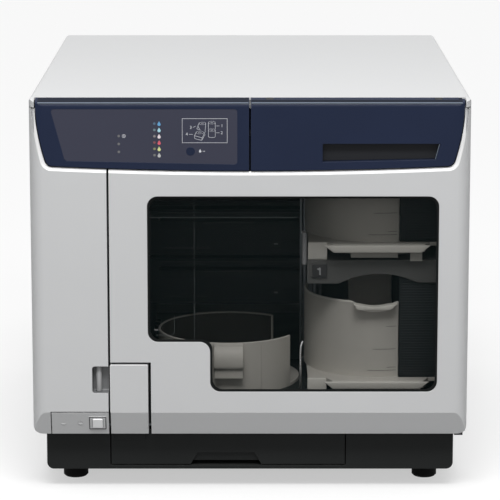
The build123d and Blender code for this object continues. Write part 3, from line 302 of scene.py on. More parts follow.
def banded_by_height(name, low_z, pitch, colours, rough):
    """A finish whose colour steps with height, for a column of lights or icons; lowest colour first."""
    finish, tree, shader = new_finish(name)
    level = add_node(
        tree, "MapRange", Value=add_node(tree, "SeparateXYZ", Vector=object_place(tree)).outputs["Z"],
        From_Min=(low_z - pitch / 2) * MM, From_Max=(low_z + (len(colours) - 0.5) * pitch) * MM,
    )
    steps = add_node(tree, "ValToRGB", Fac=level.outputs["Result"])
    steps.color_ramp.interpolation = "CONSTANT"
    marks = steps.color_ramp.elements
    while len(marks) < len(colours):
        marks.new(0.5)
    for number, colour in enumerate(colours):
        marks[number].position = number / len(colours)
        marks[number].color = (*colour, 1.0)
    texture = place_group(tree, moulded_grain, Grain_Scale=3000.0, Patch_Scale=400.0)
    stain = spread(tree, texture.outputs["Patch"], 0.0, 0.12)
    tone = mix_colours(tree, stain, steps.outputs["Color"], 0.1)
    grain = texture.outputs["Grain"]
    shade(tree, shader, tone, spread(tree, grain, rough - 0.05, rough + 0.05), grain, 0.01)
    return finish


silver_paint = moulded(
    "silver_paint", (0.535, 0.54, 0.545), (0.51, 0.515, 0.52), 0.48, 1500.0, 0.012, edge=0.72, radius=0.5,
    wear_and_highlight_amount=0.5, dust=0.05, flake=0.08, shine=0.3,
)
# a lighter copy of the silver paint: a painted highlight on the rims' bevels and the drawer panel's edges
rim_painted_highlight = moulded("rim_painted_highlight", 0.84, 0.8, 0.35, 1500.0, 0.008, edge=0.9, radius=0.3, shine=0.3)
navy_paint = moulded(
    "navy_paint", (0.009, 0.015, 0.038), (0.007, 0.012, 0.031), 0.34, 1700.0, 0.004,
    edge=(0.06, 0.075, 0.13), radius=0.5, dust=0.02, flake=0.25, coat=0.03, coat_rough=0.22, shine=0.13,
)
overlay_film = moulded(
    "overlay_film", (0.034, 0.036, 0.056), (0.029, 0.031, 0.05), 0.48, 2600.0, 0.004,
    edge=(0.12, 0.12, 0.16), radius=0.2, wear_and_highlight_amount=1.0, flake=0.1, shine=0.2,
)
base_plastic = moulded(
    "base_plastic", (0.0135, 0.0145, 0.0145), (0.0105, 0.0115, 0.0115), 0.55, 900.0, 0.02, edge=0.05,
    radius=0.6, wear_and_highlight_amount=0.8, dust=0.04, shine=0.12,
)
foot_rubber = moulded("foot_rubber", 0.010, 0.007, 0.75, 700.0, 0.03, edge=0.035, radius=0.5, shine=0.08)
gasket_rubber = moulded(
    "gasket_rubber", (0.008, 0.009, 0.009), (0.006, 0.007, 0.007), 0.6, 1200.0, 0.01, radius=0.3,
    shine=0.08,
)
stacker_plastic = moulded(
    "stacker_plastic", (0.56, 0.54, 0.49), (0.52, 0.50, 0.455), 0.5, 1300.0, 0.01, edge=(0.66, 0.65, 0.61),
    radius=0.7, wear_and_highlight_amount=0.7, dust=0.06, shine=0.3,
)
# painted highlight: a lighter copy of the stacker plastic for the stackers' beads and lips
stacker_painted_highlight = moulded(
    "stacker_painted_highlight", (0.72, 0.70, 0.64), (0.68, 0.66, 0.60), 0.45, 1300.0, 0.008, edge=(0.8, 0.79, 0.75),
    radius=0.7, wear_and_highlight_amount=0.8, dust=0.05, shine=0.3,
)
cabin_plastic = moulded(
    "cabin_plastic", (0.022, 0.027, 0.028), (0.016, 0.020, 0.021), 0.5, 1000.0, 0.008, edge=0.07,
    radius=0.5, wear_and_highlight_amount=0.7, dust=0.03, shine=0.12,
)
shelf_plastic = moulded(
    "shelf_plastic", (0.13, 0.13, 0.125), (0.11, 0.11, 0.105), 0.5, 1100.0, 0.01, edge=(0.24, 0.24, 0.23),
    radius=0.6, wear_and_highlight_amount=0.8, dust=0.05, shine=0.2,
)
# own grey of the latch; on the pocket ridge a darker copy of the silver paint as painted shade, with strongly
# lightened edges as a painted highlight
latch_grey_and_shaded_ridge = moulded(
    "latch_grey_and_shaded_ridge", (0.36, 0.363, 0.366), (0.32, 0.323, 0.326), 0.4, 1400.0, 0.008, edge=0.7, radius=0.6,
    wear_and_highlight_amount=1.2,
)
# painted shade: a dark copy of the silver paint for the inside of the finger pocket
pocket_shade_finish = moulded(
    "pocket_shade_finish", (0.14, 0.142, 0.145), (0.12, 0.122, 0.125), 0.45, 1400.0, 0.01, edge=0.5, radius=0.4,
)
button_plastic = moulded(
    "button_plastic", (0.86, 0.865, 0.87), (0.82, 0.825, 0.83), 0.3, 1500.0, 0.006, edge=0.95, radius=0.5,
    coat=0.3, coat_rough=0.1,
)
print_ink = moulded("print_ink", (0.62, 0.63, 0.66), (0.55, 0.56, 0.6), 0.5, 3000.0, 0.008, radius=0.05)
seam_dark = moulded(
    "seam_dark", (0.006, 0.007, 0.009), (0.005, 0.005, 0.007), 0.5, 2000.0, 0.004, radius=0.1, shine=0.08,
)
line_grey = moulded(
    "line_grey", (0.13, 0.14, 0.14), (0.10, 0.11, 0.11), 0.5, 2500.0, 0.004, radius=0.1, shine=0.2,
)
# painted highlight: a light navy for the bright line along the brow's crease and the grip's right edge
painted_highlight = moulded(
    "painted_highlight", (0.15, 0.18, 0.23), (0.13, 0.16, 0.2), 0.35, 2000.0, 0.004, radius=0.2, shine=0.3,
)
count_mark = moulded("count_mark", (0.24, 0.235, 0.22), (0.2, 0.195, 0.18), 0.5, 2500.0, 0.004, radius=0.1)
# painted shade: a near-black navy for the band on the brow that lies in shade
brow_painted_shade = moulded(
    "brow_painted_shade", (0.009, 0.012, 0.022), (0.007, 0.010, 0.018), 0.45, 2000.0, 0.004, radius=0.2, shine=0.1,
)
grip_dark = moulded(
    "grip_dark", (0.021, 0.022, 0.025), (0.017, 0.018, 0.021), 0.5, 1600.0, 0.006, edge=0.06, radius=0.3,
    shine=0.1,
)
# own warm dark of the arm's cover; on the low stacker's inner rear wall it is painted shade
warm_dark_and_bowl_shade = moulded(
    "warm_dark_and_bowl_shade", (0.055, 0.053, 0.048), (0.045, 0.043, 0.039), 0.55, 1200.0, 0.008, edge=(0.1, 0.1, 0.09),
    radius=0.4, shine=0.15,
)
mark_grey = moulded("mark_grey", (0.42, 0.425, 0.43), (0.38, 0.385, 0.39), 0.45, 2500.0, 0.008, radius=0.1)
zinc_steel = drawn_metal("zinc_steel", (0.62, 0.63, 0.63), (0.5, 0.51, 0.52), 0.42, 300.0)
ground_steel = drawn_metal("ground_steel", (0.82, 0.82, 0.83), (0.68, 0.69, 0.7), 0.22, 1200.0)
# a dark steel; on the chassis floor it also paints the shade where its edge shows in the gap above the base
dark_steel = drawn_metal("dark_steel", (0.20, 0.21, 0.22), (0.13, 0.14, 0.15), 0.45, 900.0)
blackened_steel = moulded(
    "blackened_steel", (0.010, 0.011, 0.014), (0.008, 0.009, 0.011), 0.45, 1500.0, 0.005,
    edge=(0.06, 0.06, 0.07), radius=0.3, shine=0.3,
)
brass_contact = drawn_metal("brass_contact", (0.85, 0.66, 0.32), (0.7, 0.52, 0.24), 0.3, 800.0)
board_lacquer = moulded(
    "board_lacquer", (0.03, 0.14, 0.06), (0.022, 0.1, 0.045), 0.32, 1200.0, 0.02, edge=(0.3, 0.3, 0.2),
    radius=0.2, coat=0.3, patch=260.0,
)
chip_black = moulded(
    "chip_black", (0.02, 0.02, 0.021), (0.014, 0.014, 0.015), 0.5, 1500.0, 0.02, edge=0.06, radius=0.2,
)
cartridge_plastic = moulded(
    "cartridge_plastic", (0.06, 0.06, 0.064), (0.045, 0.045, 0.05), 0.4, 1200.0, 0.02, edge=0.14,
    radius=0.5, coat=0.1,
)
dull_lens = moulded(
    "dull_lens", (0.16, 0.16, 0.165), (0.12, 0.12, 0.125), 0.3, 2000.0, 0.005, edge=0.2, radius=0.1,
    shine=0.3,
)
cover_glass = smoked_sheet("cover_glass", (0.0035, 0.0068, 0.0072), 0.23, 0.06)
INK_COLOURS = (
    (0.45, 0.46, 0.46), (0.62, 0.66, 0.28), (0.62, 0.09, 0.13),
    (0.74, 0.66, 0.7), (0.36, 0.62, 0.72), (0.1, 0.32, 0.58),
)
ink_icon_print = banded_by_height("ink_icon_print", INK_LOW_Z, INK_PITCH, INK_COLOURS, 0.45)
ink_lamp_lens = banded_by_height(
    "ink_lamp_lens", INK_LOW_Z, INK_PITCH,
    tuple(tuple(0.25 * part + 0.03 for part in colour) for colour in INK_COLOURS), 0.25,
)


def dress(finish, *nodes):
    """Gives CAD nodes a finish in their objects' material slots."""
    for node in nodes:
        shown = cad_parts[node]
        if not shown.material_slots:
            shown.data.materials.append(None)
        for slot in shown.material_slots:
            slot.link = "OBJECT"
            slot.material = finish


dress(
    silver_paint, "left_side_panel", "right_side_panel", "top_cover", "rear_panel", "left_front_panel",
    "power_panel", "disc_cover", "drawer_tower",
)
# the rims take the lighter silver as a painted highlight on their bevels
dress(rim_painted_highlight, "cover_rim", "panel_rim")
dress(navy_paint, "control_panel", "ink_cover", "cleaning_button")
dress(overlay_film, "control_overlay")
dress(dull_lens, "status_lights")
dress(ink_lamp_lens, "ink_lights")
dress(base_plastic, "base_tray", "drawer_front", "drawer_tray")
dress(foot_rubber, "rubber_feet")
dress(gasket_rubber, "window_gasket")
dress(cover_glass, "window_pane")
dress(stacker_plastic, "stacker_1", "stacker_2", "stacker_3")
dress(shelf_plastic, "stacker_shelf", "arm_carriage", "gripper_arm", "gripper_head")
dress(
    cabin_plastic, "front_frame", "cabin_floor", "cabin_left_wall", "cabin_right_wall", "cabin_back_wall",
    "drive_1_case", "drive_2_case", "drive_1_tray", "drive_2_tray", "printer_case", "printer_tray",
    "print_carriage", "ink_bay", "rear_sockets", "fan_frame", "fan_rotor",
)
dress(zinc_steel, "drawer_rails", "power_supply")
# the chassis floor's dark steel is partly painted shade in the gap above the base
dress(dark_steel, "chassis_floor", "arm_column", "drive_cage", "lift_motor", "guide_shaft", "lift_screw")
dress(blackened_steel, "hinge_brackets", "hinge_pins")
dress(ground_steel, "carriage_shaft")
dress(board_lacquer, "control_board", "main_board")
dress(cartridge_plastic, "ink_cartridges")
dress(button_plastic, "power_button")


# ==== shapes ====


def edges_of(verts):
    """Every edge that meets these corners."""
    return list(dict.fromkeys(edge for vert in verts for edge in vert.link_edges))


def round_edges(bm, edges, radius, segments=2):
    """Rounds edges by a radius in millimetres."""
    bmesh.ops.bevel(
        bm, geom=edges, offset=radius * MM, offset_type="OFFSET", segments=segments,
        profile=0.5, affect="EDGES", material=-1, clamp_overlap=True,
    )


def round_corners(bm, corners, radius, segments=5):
    """Rounds the corners of a flat face by a radius in millimetres."""
    bmesh.ops.bevel(
        bm, geom=corners, offset=radius * MM, offset_type="OFFSET", segments=segments,
        profile=0.5, affect="VERTICES", material=-1,
    )


def slab(bm, place, x, y, z):
    """A plain block of a size in millimetres, about a place."""
    size = Matrix.Diagonal((x * MM, y * MM, z * MM, 1.0))
    return bmesh.ops.create_cube(bm, size=1.0, matrix=place @ size)


def block(bm, x, depth, z, edge=0.3, segments=2, turn=None):
    """A block between two X, two depths and two heights, with rounded edges."""
    place = Matrix.Translation(spot(sum(x) / 2, sum(depth) / 2, sum(z) / 2))
    if turn is not None:
        place = place @ turn
    made = slab(bm, place, *(abs(pair[1] - pair[0]) for pair in (x, depth, z)))
    if edge:
        round_edges(bm, edges_of(made["verts"]), edge, segments)


def rod(bm, centre, radius, length, axis="Y", sides=32, edge=0.2):
    """A round bar or disc about a point, along an axis, with rounded rims."""
    turn = {
        "X": Matrix.Rotation(math.pi / 2, 4, "Y"),
        "Y": Matrix.Rotation(math.pi / 2, 4, "X"),
        "Z": Matrix.Identity(4),
    }[axis]
    made = bmesh.ops.create_cone(
        bm, cap_ends=True, cap_tris=False, segments=sides, radius1=radius * MM, radius2=radius * MM,
        depth=length * MM, matrix=Matrix.Translation(spot(*centre)) @ turn,
    )
    if edge:
        rims = [
            item for item in edges_of(made["verts"])
            if any(len(face.verts) > 4 for face in item.link_faces)
        ]
        round_edges(bm, rims, edge)


def thicken(bm, faces, way):
    """Copies flat faces along a way, in metres, and walls the step."""
    made = bmesh.ops.extrude_face_region(bm, geom=faces)
    moved = [item for item in made["geom"] if isinstance(item, bmesh.types.BMVert)]
    bmesh.ops.translate(bm, verts=moved, vec=way)


def front_plate(bm, outline, depth0, depth1, corner=0.0, edge=0.0):
    """A plate with an outline of X and Z, between two depths, with rounded corners."""
    verts = [bm.verts.new(spot(x, depth0, z)) for x, z in outline]
    face = bm.faces.new(verts)
    if corner:
        round_corners(bm, verts, corner)
        face = [item for item in bm.faces if item.is_valid and len(item.verts) > 4][-1]
    thicken(bm, [face], (0.0, (depth1 - depth0) * MM, 0.0))
    if edge:
        round_edges(bm, [item for item in face.edges if item.is_valid], edge)


def pour(shape, bm, way, place=Matrix.Identity(4)):
    """Thickens a flat shape, sets it at its place and adds it to an open mesh."""
    thicken(shape, list(shape.faces), way)
    bmesh.ops.transform(shape, matrix=place, verts=shape.verts)
    bmesh.ops.recalc_face_normals(shape, faces=shape.faces)
    carrier = bpy.data.meshes.new("carrier")
    shape.to_mesh(carrier)
    shape.free()
    bm.from_mesh(carrier)
    bpy.data.meshes.remove(carrier)


def hollow(shape, width):
    """Leaves of a shape's only face a line of a given width along its border."""
    shape.faces.ensure_lookup_table()
    shape.normal_update()
    inner = shape.faces[0]
    bmesh.ops.inset_region(
        shape, faces=[inner], thickness=width * MM, depth=0.0, use_boundary=True, use_even_offset=True
    )
    bmesh.ops.delete(shape, geom=[inner], context="FACES_ONLY")


def closed_line(bm, points, width, way, corner=0.0, segments=5, place=Matrix.Identity(4)):
    """A closed line of a given width inside an outline of flat points, in metres."""
    shape = bmesh.new()
    verts = [shape.verts.new(point) for point in points]
    shape.faces.new(verts)
    if corner:
        round_corners(shape, verts, corner, segments)
    hollow(shape, width)
    pour(shape, bm, way, place)


def frame_line(bm, outline, width, depth0, depth1, corner=0.0):
    """A closed line that faces the front, inside an outline of X and Z."""
    points = [spot(x, depth0, z) for x, z in outline]
    closed_line(bm, points, width, (0.0, (depth1 - depth0) * MM, 0.0), corner)


def strokes(bm, *runs, width=0.3, depth0=PRINT_DEPTH, depth1=OVERLAY_DEPTH):
    """Thin straight lines from point to point of each run of X and Z."""
    for run in runs:
        for start, end in zip(run, run[1:]):
            way = Vector((end[0] - start[0], 0.0, end[1] - start[1]))
            turn = Matrix.Rotation(-math.atan2(way.z, way.x), 4, "Y")
            middle = spot((start[0] + end[0]) / 2, (depth0 + depth1) / 2, (start[1] + end[1]) / 2)
            slab(bm, Matrix.Translation(middle) @ turn, way.length, abs(depth1 - depth0), width)


def ring(bm, x, z, outer, inner, stretch=1.0):
    """A flat printed ring that faces the front; stretch makes it an ellipse."""
    shape = bmesh.new()
    bmesh.ops.create_circle(shape, cap_ends=True, radius=outer * MM, segments=40)
    hollow(shape, outer - inner)
    place = (
        Matrix.Translation(spot(x, OVERLAY_DEPTH, z)) @ Matrix.Rotation(math.pi / 2, 4, "X")
        @ Matrix.Diagonal((1.0, stretch, 1.0, 1.0))
    )
    pour(shape, bm, (0.0, 0.0, (OVERLAY_DEPTH - PRINT_DEPTH) * MM), place)


def drop_shape(bm, x, z, height):
    """A printed drop: a round body with a drawn-up tip."""
    radius = height * 0.34
    shape = bmesh.new()
    bmesh.ops.create_circle(shape, cap_ends=True, radius=radius * MM, segments=24)
    top = max(vert.co.y for vert in shape.verts)
    for vert in shape.verts:
        lift = max(0.0, vert.co.y / top) ** 3
        vert.co.y += lift * (height - 2 * radius) * MM
        vert.co.x *= 1.0 - 0.75 * lift
    low = Matrix.Translation(spot(x, OVERLAY_DEPTH, z - height / 2 + radius))
    way = (0.0, 0.0, (OVERLAY_DEPTH - PRINT_DEPTH) * MM)
    pour(shape, bm, way, low @ Matrix.Rotation(math.pi / 2, 4, "X"))


def pour_curve(curve, bm, place=Matrix.Identity(4)):
    """Adds the mesh of a curve or a text to an open mesh."""
    holder = bpy.data.objects.new("holder", curve)
    bpy.context.scene.collection.objects.link(holder)
    view = bpy.context.evaluated_depsgraph_get()
    mesh = bpy.data.meshes.new_from_object(holder.evaluated_get(view))
    bpy.data.objects.remove(holder)
    bpy.data.curves.remove(curve)
    mesh.transform(place)
    bm.from_mesh(mesh)
    bpy.data.meshes.remove(mesh)


def digit(bm, sign, x, z, height, depth0=PRINT_DEPTH, depth1=OVERLAY_DEPTH):
    """A plain digit that faces the front."""
    text = bpy.data.curves.new("digit", "FONT")
    text.body = sign
    text.align_x = "CENTER"
    text.align_y = "CENTER"
    text.size = height * MM / 0.72
    text.extrude = abs(depth1 - depth0) / 2 * MM
    text.resolution_u = 4
    middle = Matrix.Translation(spot(x, (depth0 + depth1) / 2, z))
    pour_curve(text, bm, middle @ Matrix.Rotation(math.pi / 2, 4, "X"))


def tube_along(bm, points, radius):
    """A round bead along points of X, depth and Z."""
    path = bpy.data.curves.new("bead", "CURVE")
    path.dimensions = "3D"
    path.bevel_depth = radius * MM
    path.bevel_resolution = 3
    path.use_fill_caps = True
    run = path.splines.new("POLY")
    run.points.add(len(points) - 1)
    for mark, point in zip(run.points, points):
        mark.co = (*spot(*point), 1.0)
    pour_curve(path, bm)


def swept_band(bm, centre, radius0, radius1, z0, z1, start, end, steps=24):
    """A band swept about an upright axis between two azimuths; 0 is the front and 90 the right."""
    axis = spot(centre[0], centre[1], 0.0)
    first = math.radians(start)
    ahead = Vector((math.sin(first), -math.cos(first), 0.0))
    corners = ((radius0, z0), (radius1, z0), (radius1, z1), (radius0, z1))
    verts = [bm.verts.new(axis + ahead * radius * MM + Vector((0, 0, z * MM))) for radius, z in corners]
    face = bm.faces.new(verts)
    bmesh.ops.spin(
        bm, geom=[face, *face.edges, *verts], cent=axis, axis=(0, 0, 1),
        angle=math.radians(end - start), steps=steps, use_merge=False,
    )


def piece(name, bm, finish, body, replaced=(), smooth=35.0):
    """Closes an open mesh into a named piece that rides on a body."""
    bmesh.ops.remove_doubles(bm, verts=bm.verts, dist=1e-7)
    bmesh.ops.recalc_face_normals(bm, faces=bm.faces)
    mesh = bpy.data.meshes.new(name)
    bm.to_mesh(mesh)
    bm.free()
    mesh.shade_smooth()
    mesh.set_sharp_from_angle(angle=math.radians(smooth))
    shown = bpy.data.objects.new(name, mesh)
    bpy.context.scene.collection.objects.link(shown)
    mesh.materials.append(finish)
    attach(shown, body)
    if replaced:
        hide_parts(*replaced)


# ==== control panel overlay and its printing ====
def build_brow(name, x0, x1, body):
    """A near-black band over the navy brow that paints the shade on it, and a light line along its crease
    that paints a highlight.
    """
    for z0, z1, finish, part in ((344.75, 347.6, brow_painted_shade, "painted_shade"), (344.05, 344.7, painted_highlight, "line")):
        bm = bmesh.new()
        low = (z0 - BROW_CREASE_Z) * BROW_SLOPE
        high = (z1 - BROW_CREASE_Z) * BROW_SLOPE
        corners = (
            (low - 0.35, z0 + 0.12), (high - 0.35, z1 + 0.12), (high + 0.6, z1 - 0.2), (low + 0.6, z0 - 0.2),
        )
        for x in (x0, x1):
            end = [bm.verts.new(spot(x, max(0.02, depth), z)) for depth, z in corners]
            bmesh.ops.contextual_create(bm, geom=end)
        bmesh.ops.bridge_loops(bm, edges=list(bm.edges))
        piece(name + "_" + part, bm, finish, body)


def build_overlay_sheet():
    """The dark film let into the navy panel."""
    bm = bmesh.new()
    outline = ((-169.5, 339.2), (-10.8, 339.2), (-10.8, 291.7), (-157.6, 294.7))
    front_plate(bm, outline, OVERLAY_DEPTH, 0.6, corner=2.5)
    piece("overlay_sheet", bm, overlay_film, "body", replaced=("control_overlay",))


def printed_disc(bm, x, z, outer, hole, stretch=0.42):
    """A disc seen at a slant: its rim and its hole."""
    for radius in (outer, hole):
        ring(bm, x, z, radius, radius - 0.3, stretch)


def build_panel_icons():
    """White printing: a power sign, the stacker diagram with its digits, and a drop by the button."""
    bm = bmesh.new()
    ring(bm, -107.2, 316.1, 1.55, 1.25)
    strokes(bm, ((-107.2, 315.1), (-107.2, 317.1)), ((-108.0, 316.1), (-106.4, 316.1)))
    border = ((-57.7, 310.2), (-19.2, 310.2), (-19.2, 331.2), (-57.7, 331.2))
    frame_line(bm, border, 0.32, PRINT_DEPTH, OVERLAY_DEPTH)
    # upright pair of stacks
    for top_z in (327.6, 321.2):
        printed_disc(bm, -32.4, top_z, 3.0, 1.0)
        for side_x in (-35.3, -29.5):
            strokes(bm, ((side_x, top_z), (side_x, top_z - 5.6)))
    strokes(
        bm, ((-34.6, 314.9), (-30.2, 314.9)), ((-35.3, 315.8), (-34.5, 314.95)),
        ((-29.5, 315.8), (-30.3, 314.95)),
    )
    # leaning stack
    printed_disc(bm, -40.4, 327.0, 2.9, 0.9)
    strokes(
        bm, ((-43.3, 327.0), (-45.2, 322.3)), ((-37.6, 326.6), (-38.0, 321.2)),
        ((-45.2, 322.3), (-42.0, 321.3)), ((-44.2, 324.8), (-42.9, 322.0)),
    )
    # drawer with its disc
    printed_disc(bm, -42.6, 319.2, 3.3, 1.3, stretch=0.4)
    strokes(
        bm, ((-47.2, 316.4), (-40.6, 314.6), (-37.9, 320.2), (-38.4, 321.0)),
        ((-47.2, 316.4), (-45.6, 319.4)), ((-47.2, 316.4), (-46.9, 313.9), (-41.0, 312.4)),
        ((-40.6, 314.6), (-41.0, 312.4), (-38.0, 317.8)),
    )
    # digits and their leads
    for sign, x, z in (("1", -23.8, 324.8), ("2", -24.0, 318.9), ("3", -50.3, 323.4), ("4", -53.7, 317.7)):
        digit(bm, sign, x, z, 2.6)
    strokes(
        bm, ((-28.6, 324.8), (-25.9, 324.8)), ((-28.6, 318.9), (-25.9, 318.9)),
        ((-48.4, 323.6), (-46.2, 324.6)), ((-51.8, 317.7), (-48.6, 317.4)),
    )
    drop_shape(bm, -42.4, 303.4, 3.0)
    for x in (-39.8, -38.6):
        rod(bm, (x, (PRINT_DEPTH + OVERLAY_DEPTH) / 2, 303.0), 0.35, OVERLAY_DEPTH - PRINT_DEPTH, edge=0)
    piece("panel_icons", bm, print_ink, "body")


def build_ink_icons():
    """Six drops, one for each ink."""
    bm = bmesh.new()
    for number in range(INK_COUNT):
        drop_shape(bm, -77.2, INK_LOW_Z + number * INK_PITCH, 4.0)
    piece("ink_icons", bm, ink_icon_print, "body")


build_brow("panel_brow", -180.4, -1.2, "body")
build_brow("ink_brow", 1.2, 180.4, "ink_cover")
build_overlay_sheet()
build_panel_icons()
build_ink_icons()


# ==== power panel and grips ====
def chin_place(x, z, proud=0.0):
    """Place on the sloping chin; its own z points out of the slope."""
    depth = CHIN_LENGTH * (1 - (z - SKIRT_Z) / CHIN_HEIGHT)
    lean, rise = math.sin(CHIN_ANGLE), math.cos(CHIN_ANGLE)
    turn = Matrix(((1, 0, 0), (0, -lean, -rise), (0, rise, -lean))).to_4x4()
    return Matrix.Translation(spot(x, depth, z)) @ turn @ Matrix.Translation((0, 0, proud * MM))


def build_power_marks():
    """The groove round the power button, and the power sign beside it."""
    groove = bmesh.new()
    half_x = 14.9 / 2 * MM
    half_y = 12.9 / 2 * MM
    points = ((-half_x, -half_y, 0.0), (half_x, -half_y, 0.0), (half_x, half_y, 0.0), (-half_x, half_y, 0.0))
    place = chin_place(-132.1, 63.8, 0.5)
    closed_line(groove, points, 0.8, (0.0, 0.0, 0.08 * MM), 0.8, 4, place)
    piece("button_groove", groove, chip_black, "body")
    sign = bmesh.new()
    centre = chin_place(-147.3, 63.6)
    parts = 14
    for number in range(parts):
        angle = math.radians(35 + number * 290 / (parts - 1))
        turn = Matrix.Rotation(-angle, 4, "Z")
        slab(sign, centre @ turn @ Matrix.Translation((0, 2.1 * MM, 0.03 * MM)), 1.0, 0.4, 0.08)
    slab(sign, centre @ Matrix.Translation((0, 1.7 * MM, 0.03 * MM)), 0.4, 2.2, 0.08)
    piece("power_sign", sign, mark_grey, "body")


def build_grip_lining():
    """The dark floor of the ink cover's grip, and a light line that paints a highlight along its slanted
    right edge.
    """
    bm = bmesh.new()
    outline = ((62.1, 293.95), (157.9, 295.9), (161.4, 309.1), (62.1, 309.1))
    front_plate(bm, outline, 6.5, 6.98)
    piece("grip_floor", bm, grip_dark, "ink_cover")
    edge = bmesh.new()
    strokes(edge, ((157.6, 296.2), (161.0, 308.9)), width=0.45, depth0=0.06, depth1=0.5)
    piece("grip_edge", edge, painted_highlight, "ink_cover")


def build_finger_pocket():
    """A dark sheet that paints the shade inside the finger pocket, and its upright ridge in a darker grey
    than the silver as painted shade, with lightened edges as a painted highlight.
    """
    shade_sheet = bmesh.new()
    slab(shade_sheet, Matrix.Translation(spot(-129.3, 4.6, 102.95)), 14.2, 8.4, 23.6)
    open_faces = [face for face in shade_sheet.faces if face.normal.y < -0.9 or face.normal.x > 0.9]
    bmesh.ops.delete(shade_sheet, geom=open_faces, context="FACES_ONLY")
    corners = [
        edge for edge in shade_sheet.edges
        if len(edge.link_faces) == 2 and min(vert.co.x for vert in edge.verts) < -0.136
    ]
    round_edges(shade_sheet, corners, 2.2, 5)
    bmesh.ops.solidify(shade_sheet, geom=list(shade_sheet.faces), thickness=0.25 * MM)
    piece("pocket_shade_sheet", shade_sheet, pocket_shade_finish, "body")
    ridge = bmesh.new()
    rod(ridge, (-130.7, 6.2, 102.6), 2.5, 22.6, axis="Z", edge=1.2)
    block(ridge, (-133.0, -128.4), (6.2, 8.7), (91.6, 113.4), edge=0.4)
    piece("pocket_ridge", ridge, latch_grey_and_shaded_ridge, "body")


def build_pocket_corners():
    """Rounds the left corners of the finger pocket."""
    bm = bmesh.new()
    radius = 2.4
    for corner_z, turn in ((114.8, -1.0), (91.1, 1.0)):
        outline = [(-136.45, corner_z)]
        for degrees in range(0, 91, 15):
            angle = math.radians(degrees)
            x = -136.4 + radius * (1 - math.cos(angle))
            outline.append((x, corner_z + turn * radius * (1 - math.sin(angle))))
        front_plate(bm, outline, 0.03, 8.0)
    piece("pocket_corners", bm, silver_paint, "body")


def build_tower_edges():
    """Eased edges at the top and left of the drawer's front panel, made lighter than the silver as a painted
    highlight.
    """
    bm = bmesh.new()
    block(bm, (-120.4, -88.3), (0.1, 1.8), (115.7, 116.3), edge=0.2)
    block(bm, (-120.95, -120.5), (0.1, 1.6), (74.0, 115.6), edge=0.15)
    piece("tower_edges", bm, rim_painted_highlight, "drawer")


build_power_marks()
build_grip_lining()
build_finger_pocket()
build_pocket_corners()
build_tower_edges()


# ==== window ====
def build_pane_lines():
    """Faint lines of the window's inner sheet."""
    bm = bmesh.new()
    strokes(
        bm, ((-47.9, 137.6), (-47.9, 262.0)), ((-86.0, 244.8), (40.0, 244.8)),
        ((-65.2, 144.0), (-65.2, 159.0)), ((-67.4, 141.6), (-81.0, 141.6)), ((-65.2, 144.0), (-67.4, 141.6)),
        width=0.45, depth0=4.55, depth1=4.75,
    )
    piece("pane_lines", bm, line_grey, "disc_cover")


def build_window_seal():
    """The narrow dark lip inside the gasket."""
    bm = bmesh.new()
    outline = (
        (-87.8, 263.8), (161.4, 263.8), (161.4, 92.3), (-34.2, 92.3), (-34.2, 136.5), (-87.8, 136.5),
    )
    frame_line(bm, outline, 1.7, 2.15, 2.45, corner=8.6)
    piece("window_painted_shade", bm, seam_dark, "disc_cover")


def build_cheek_backs():
    """Silver backs behind the upper corners, where the rim nears the case's rounded edge."""
    bow = (
        (182.6, 4.2), (184.6, 4.8), (186.2, 6.4), (187.2, 8.6),
        (186.0, 9.4), (184.9, 7.4), (183.8, 6.2), (182.6, 5.6),
    )
    for side, body, name in ((-1, "body", "left_cheek_back"), (1, "disc_cover", "right_cheek_back")):
        bm = bmesh.new()
        bm.faces.new([bm.verts.new(spot(side * x, depth, 312.0)) for x, depth in bow])
        thicken(bm, list(bm.faces), (0.0, 0.0, 27.2 * MM))
        piece(name, bm, silver_paint, body)


build_pane_lines()
build_window_seal()
build_cheek_backs()


# ==== stackers ====
def notch_z(x, rim_z, rise):
    """Height of a stacker's round finger notch at an X."""
    return rim_z + rise - math.sqrt(NOTCH_RADIUS ** 2 - (x - NOTCH_X) ** 2)


def rim_points(centre_x, rim_z, start, end, step, notched=False):
    """Points along a stacker's rim, dipping through its finger notch."""
    count = max(2, int(abs(end - start) / step))
    points = []
    for number in range(count + 1):
        azimuth = math.radians(start + (end - start) * number / count)
        x = centre_x + STACKER_WALL_RADIUS * math.sin(azimuth)
        depth = DISC_AXIS_DEPTH - STACKER_WALL_RADIUS * math.cos(azimuth)
        z = rim_z
        if notched and abs(x - NOTCH_X) < NOTCH_HALF_WIDTH and math.cos(azimuth) > 0:
            z = min(rim_z, notch_z(x, rim_z, 42.5))
        points.append((x, depth, z))
    return points


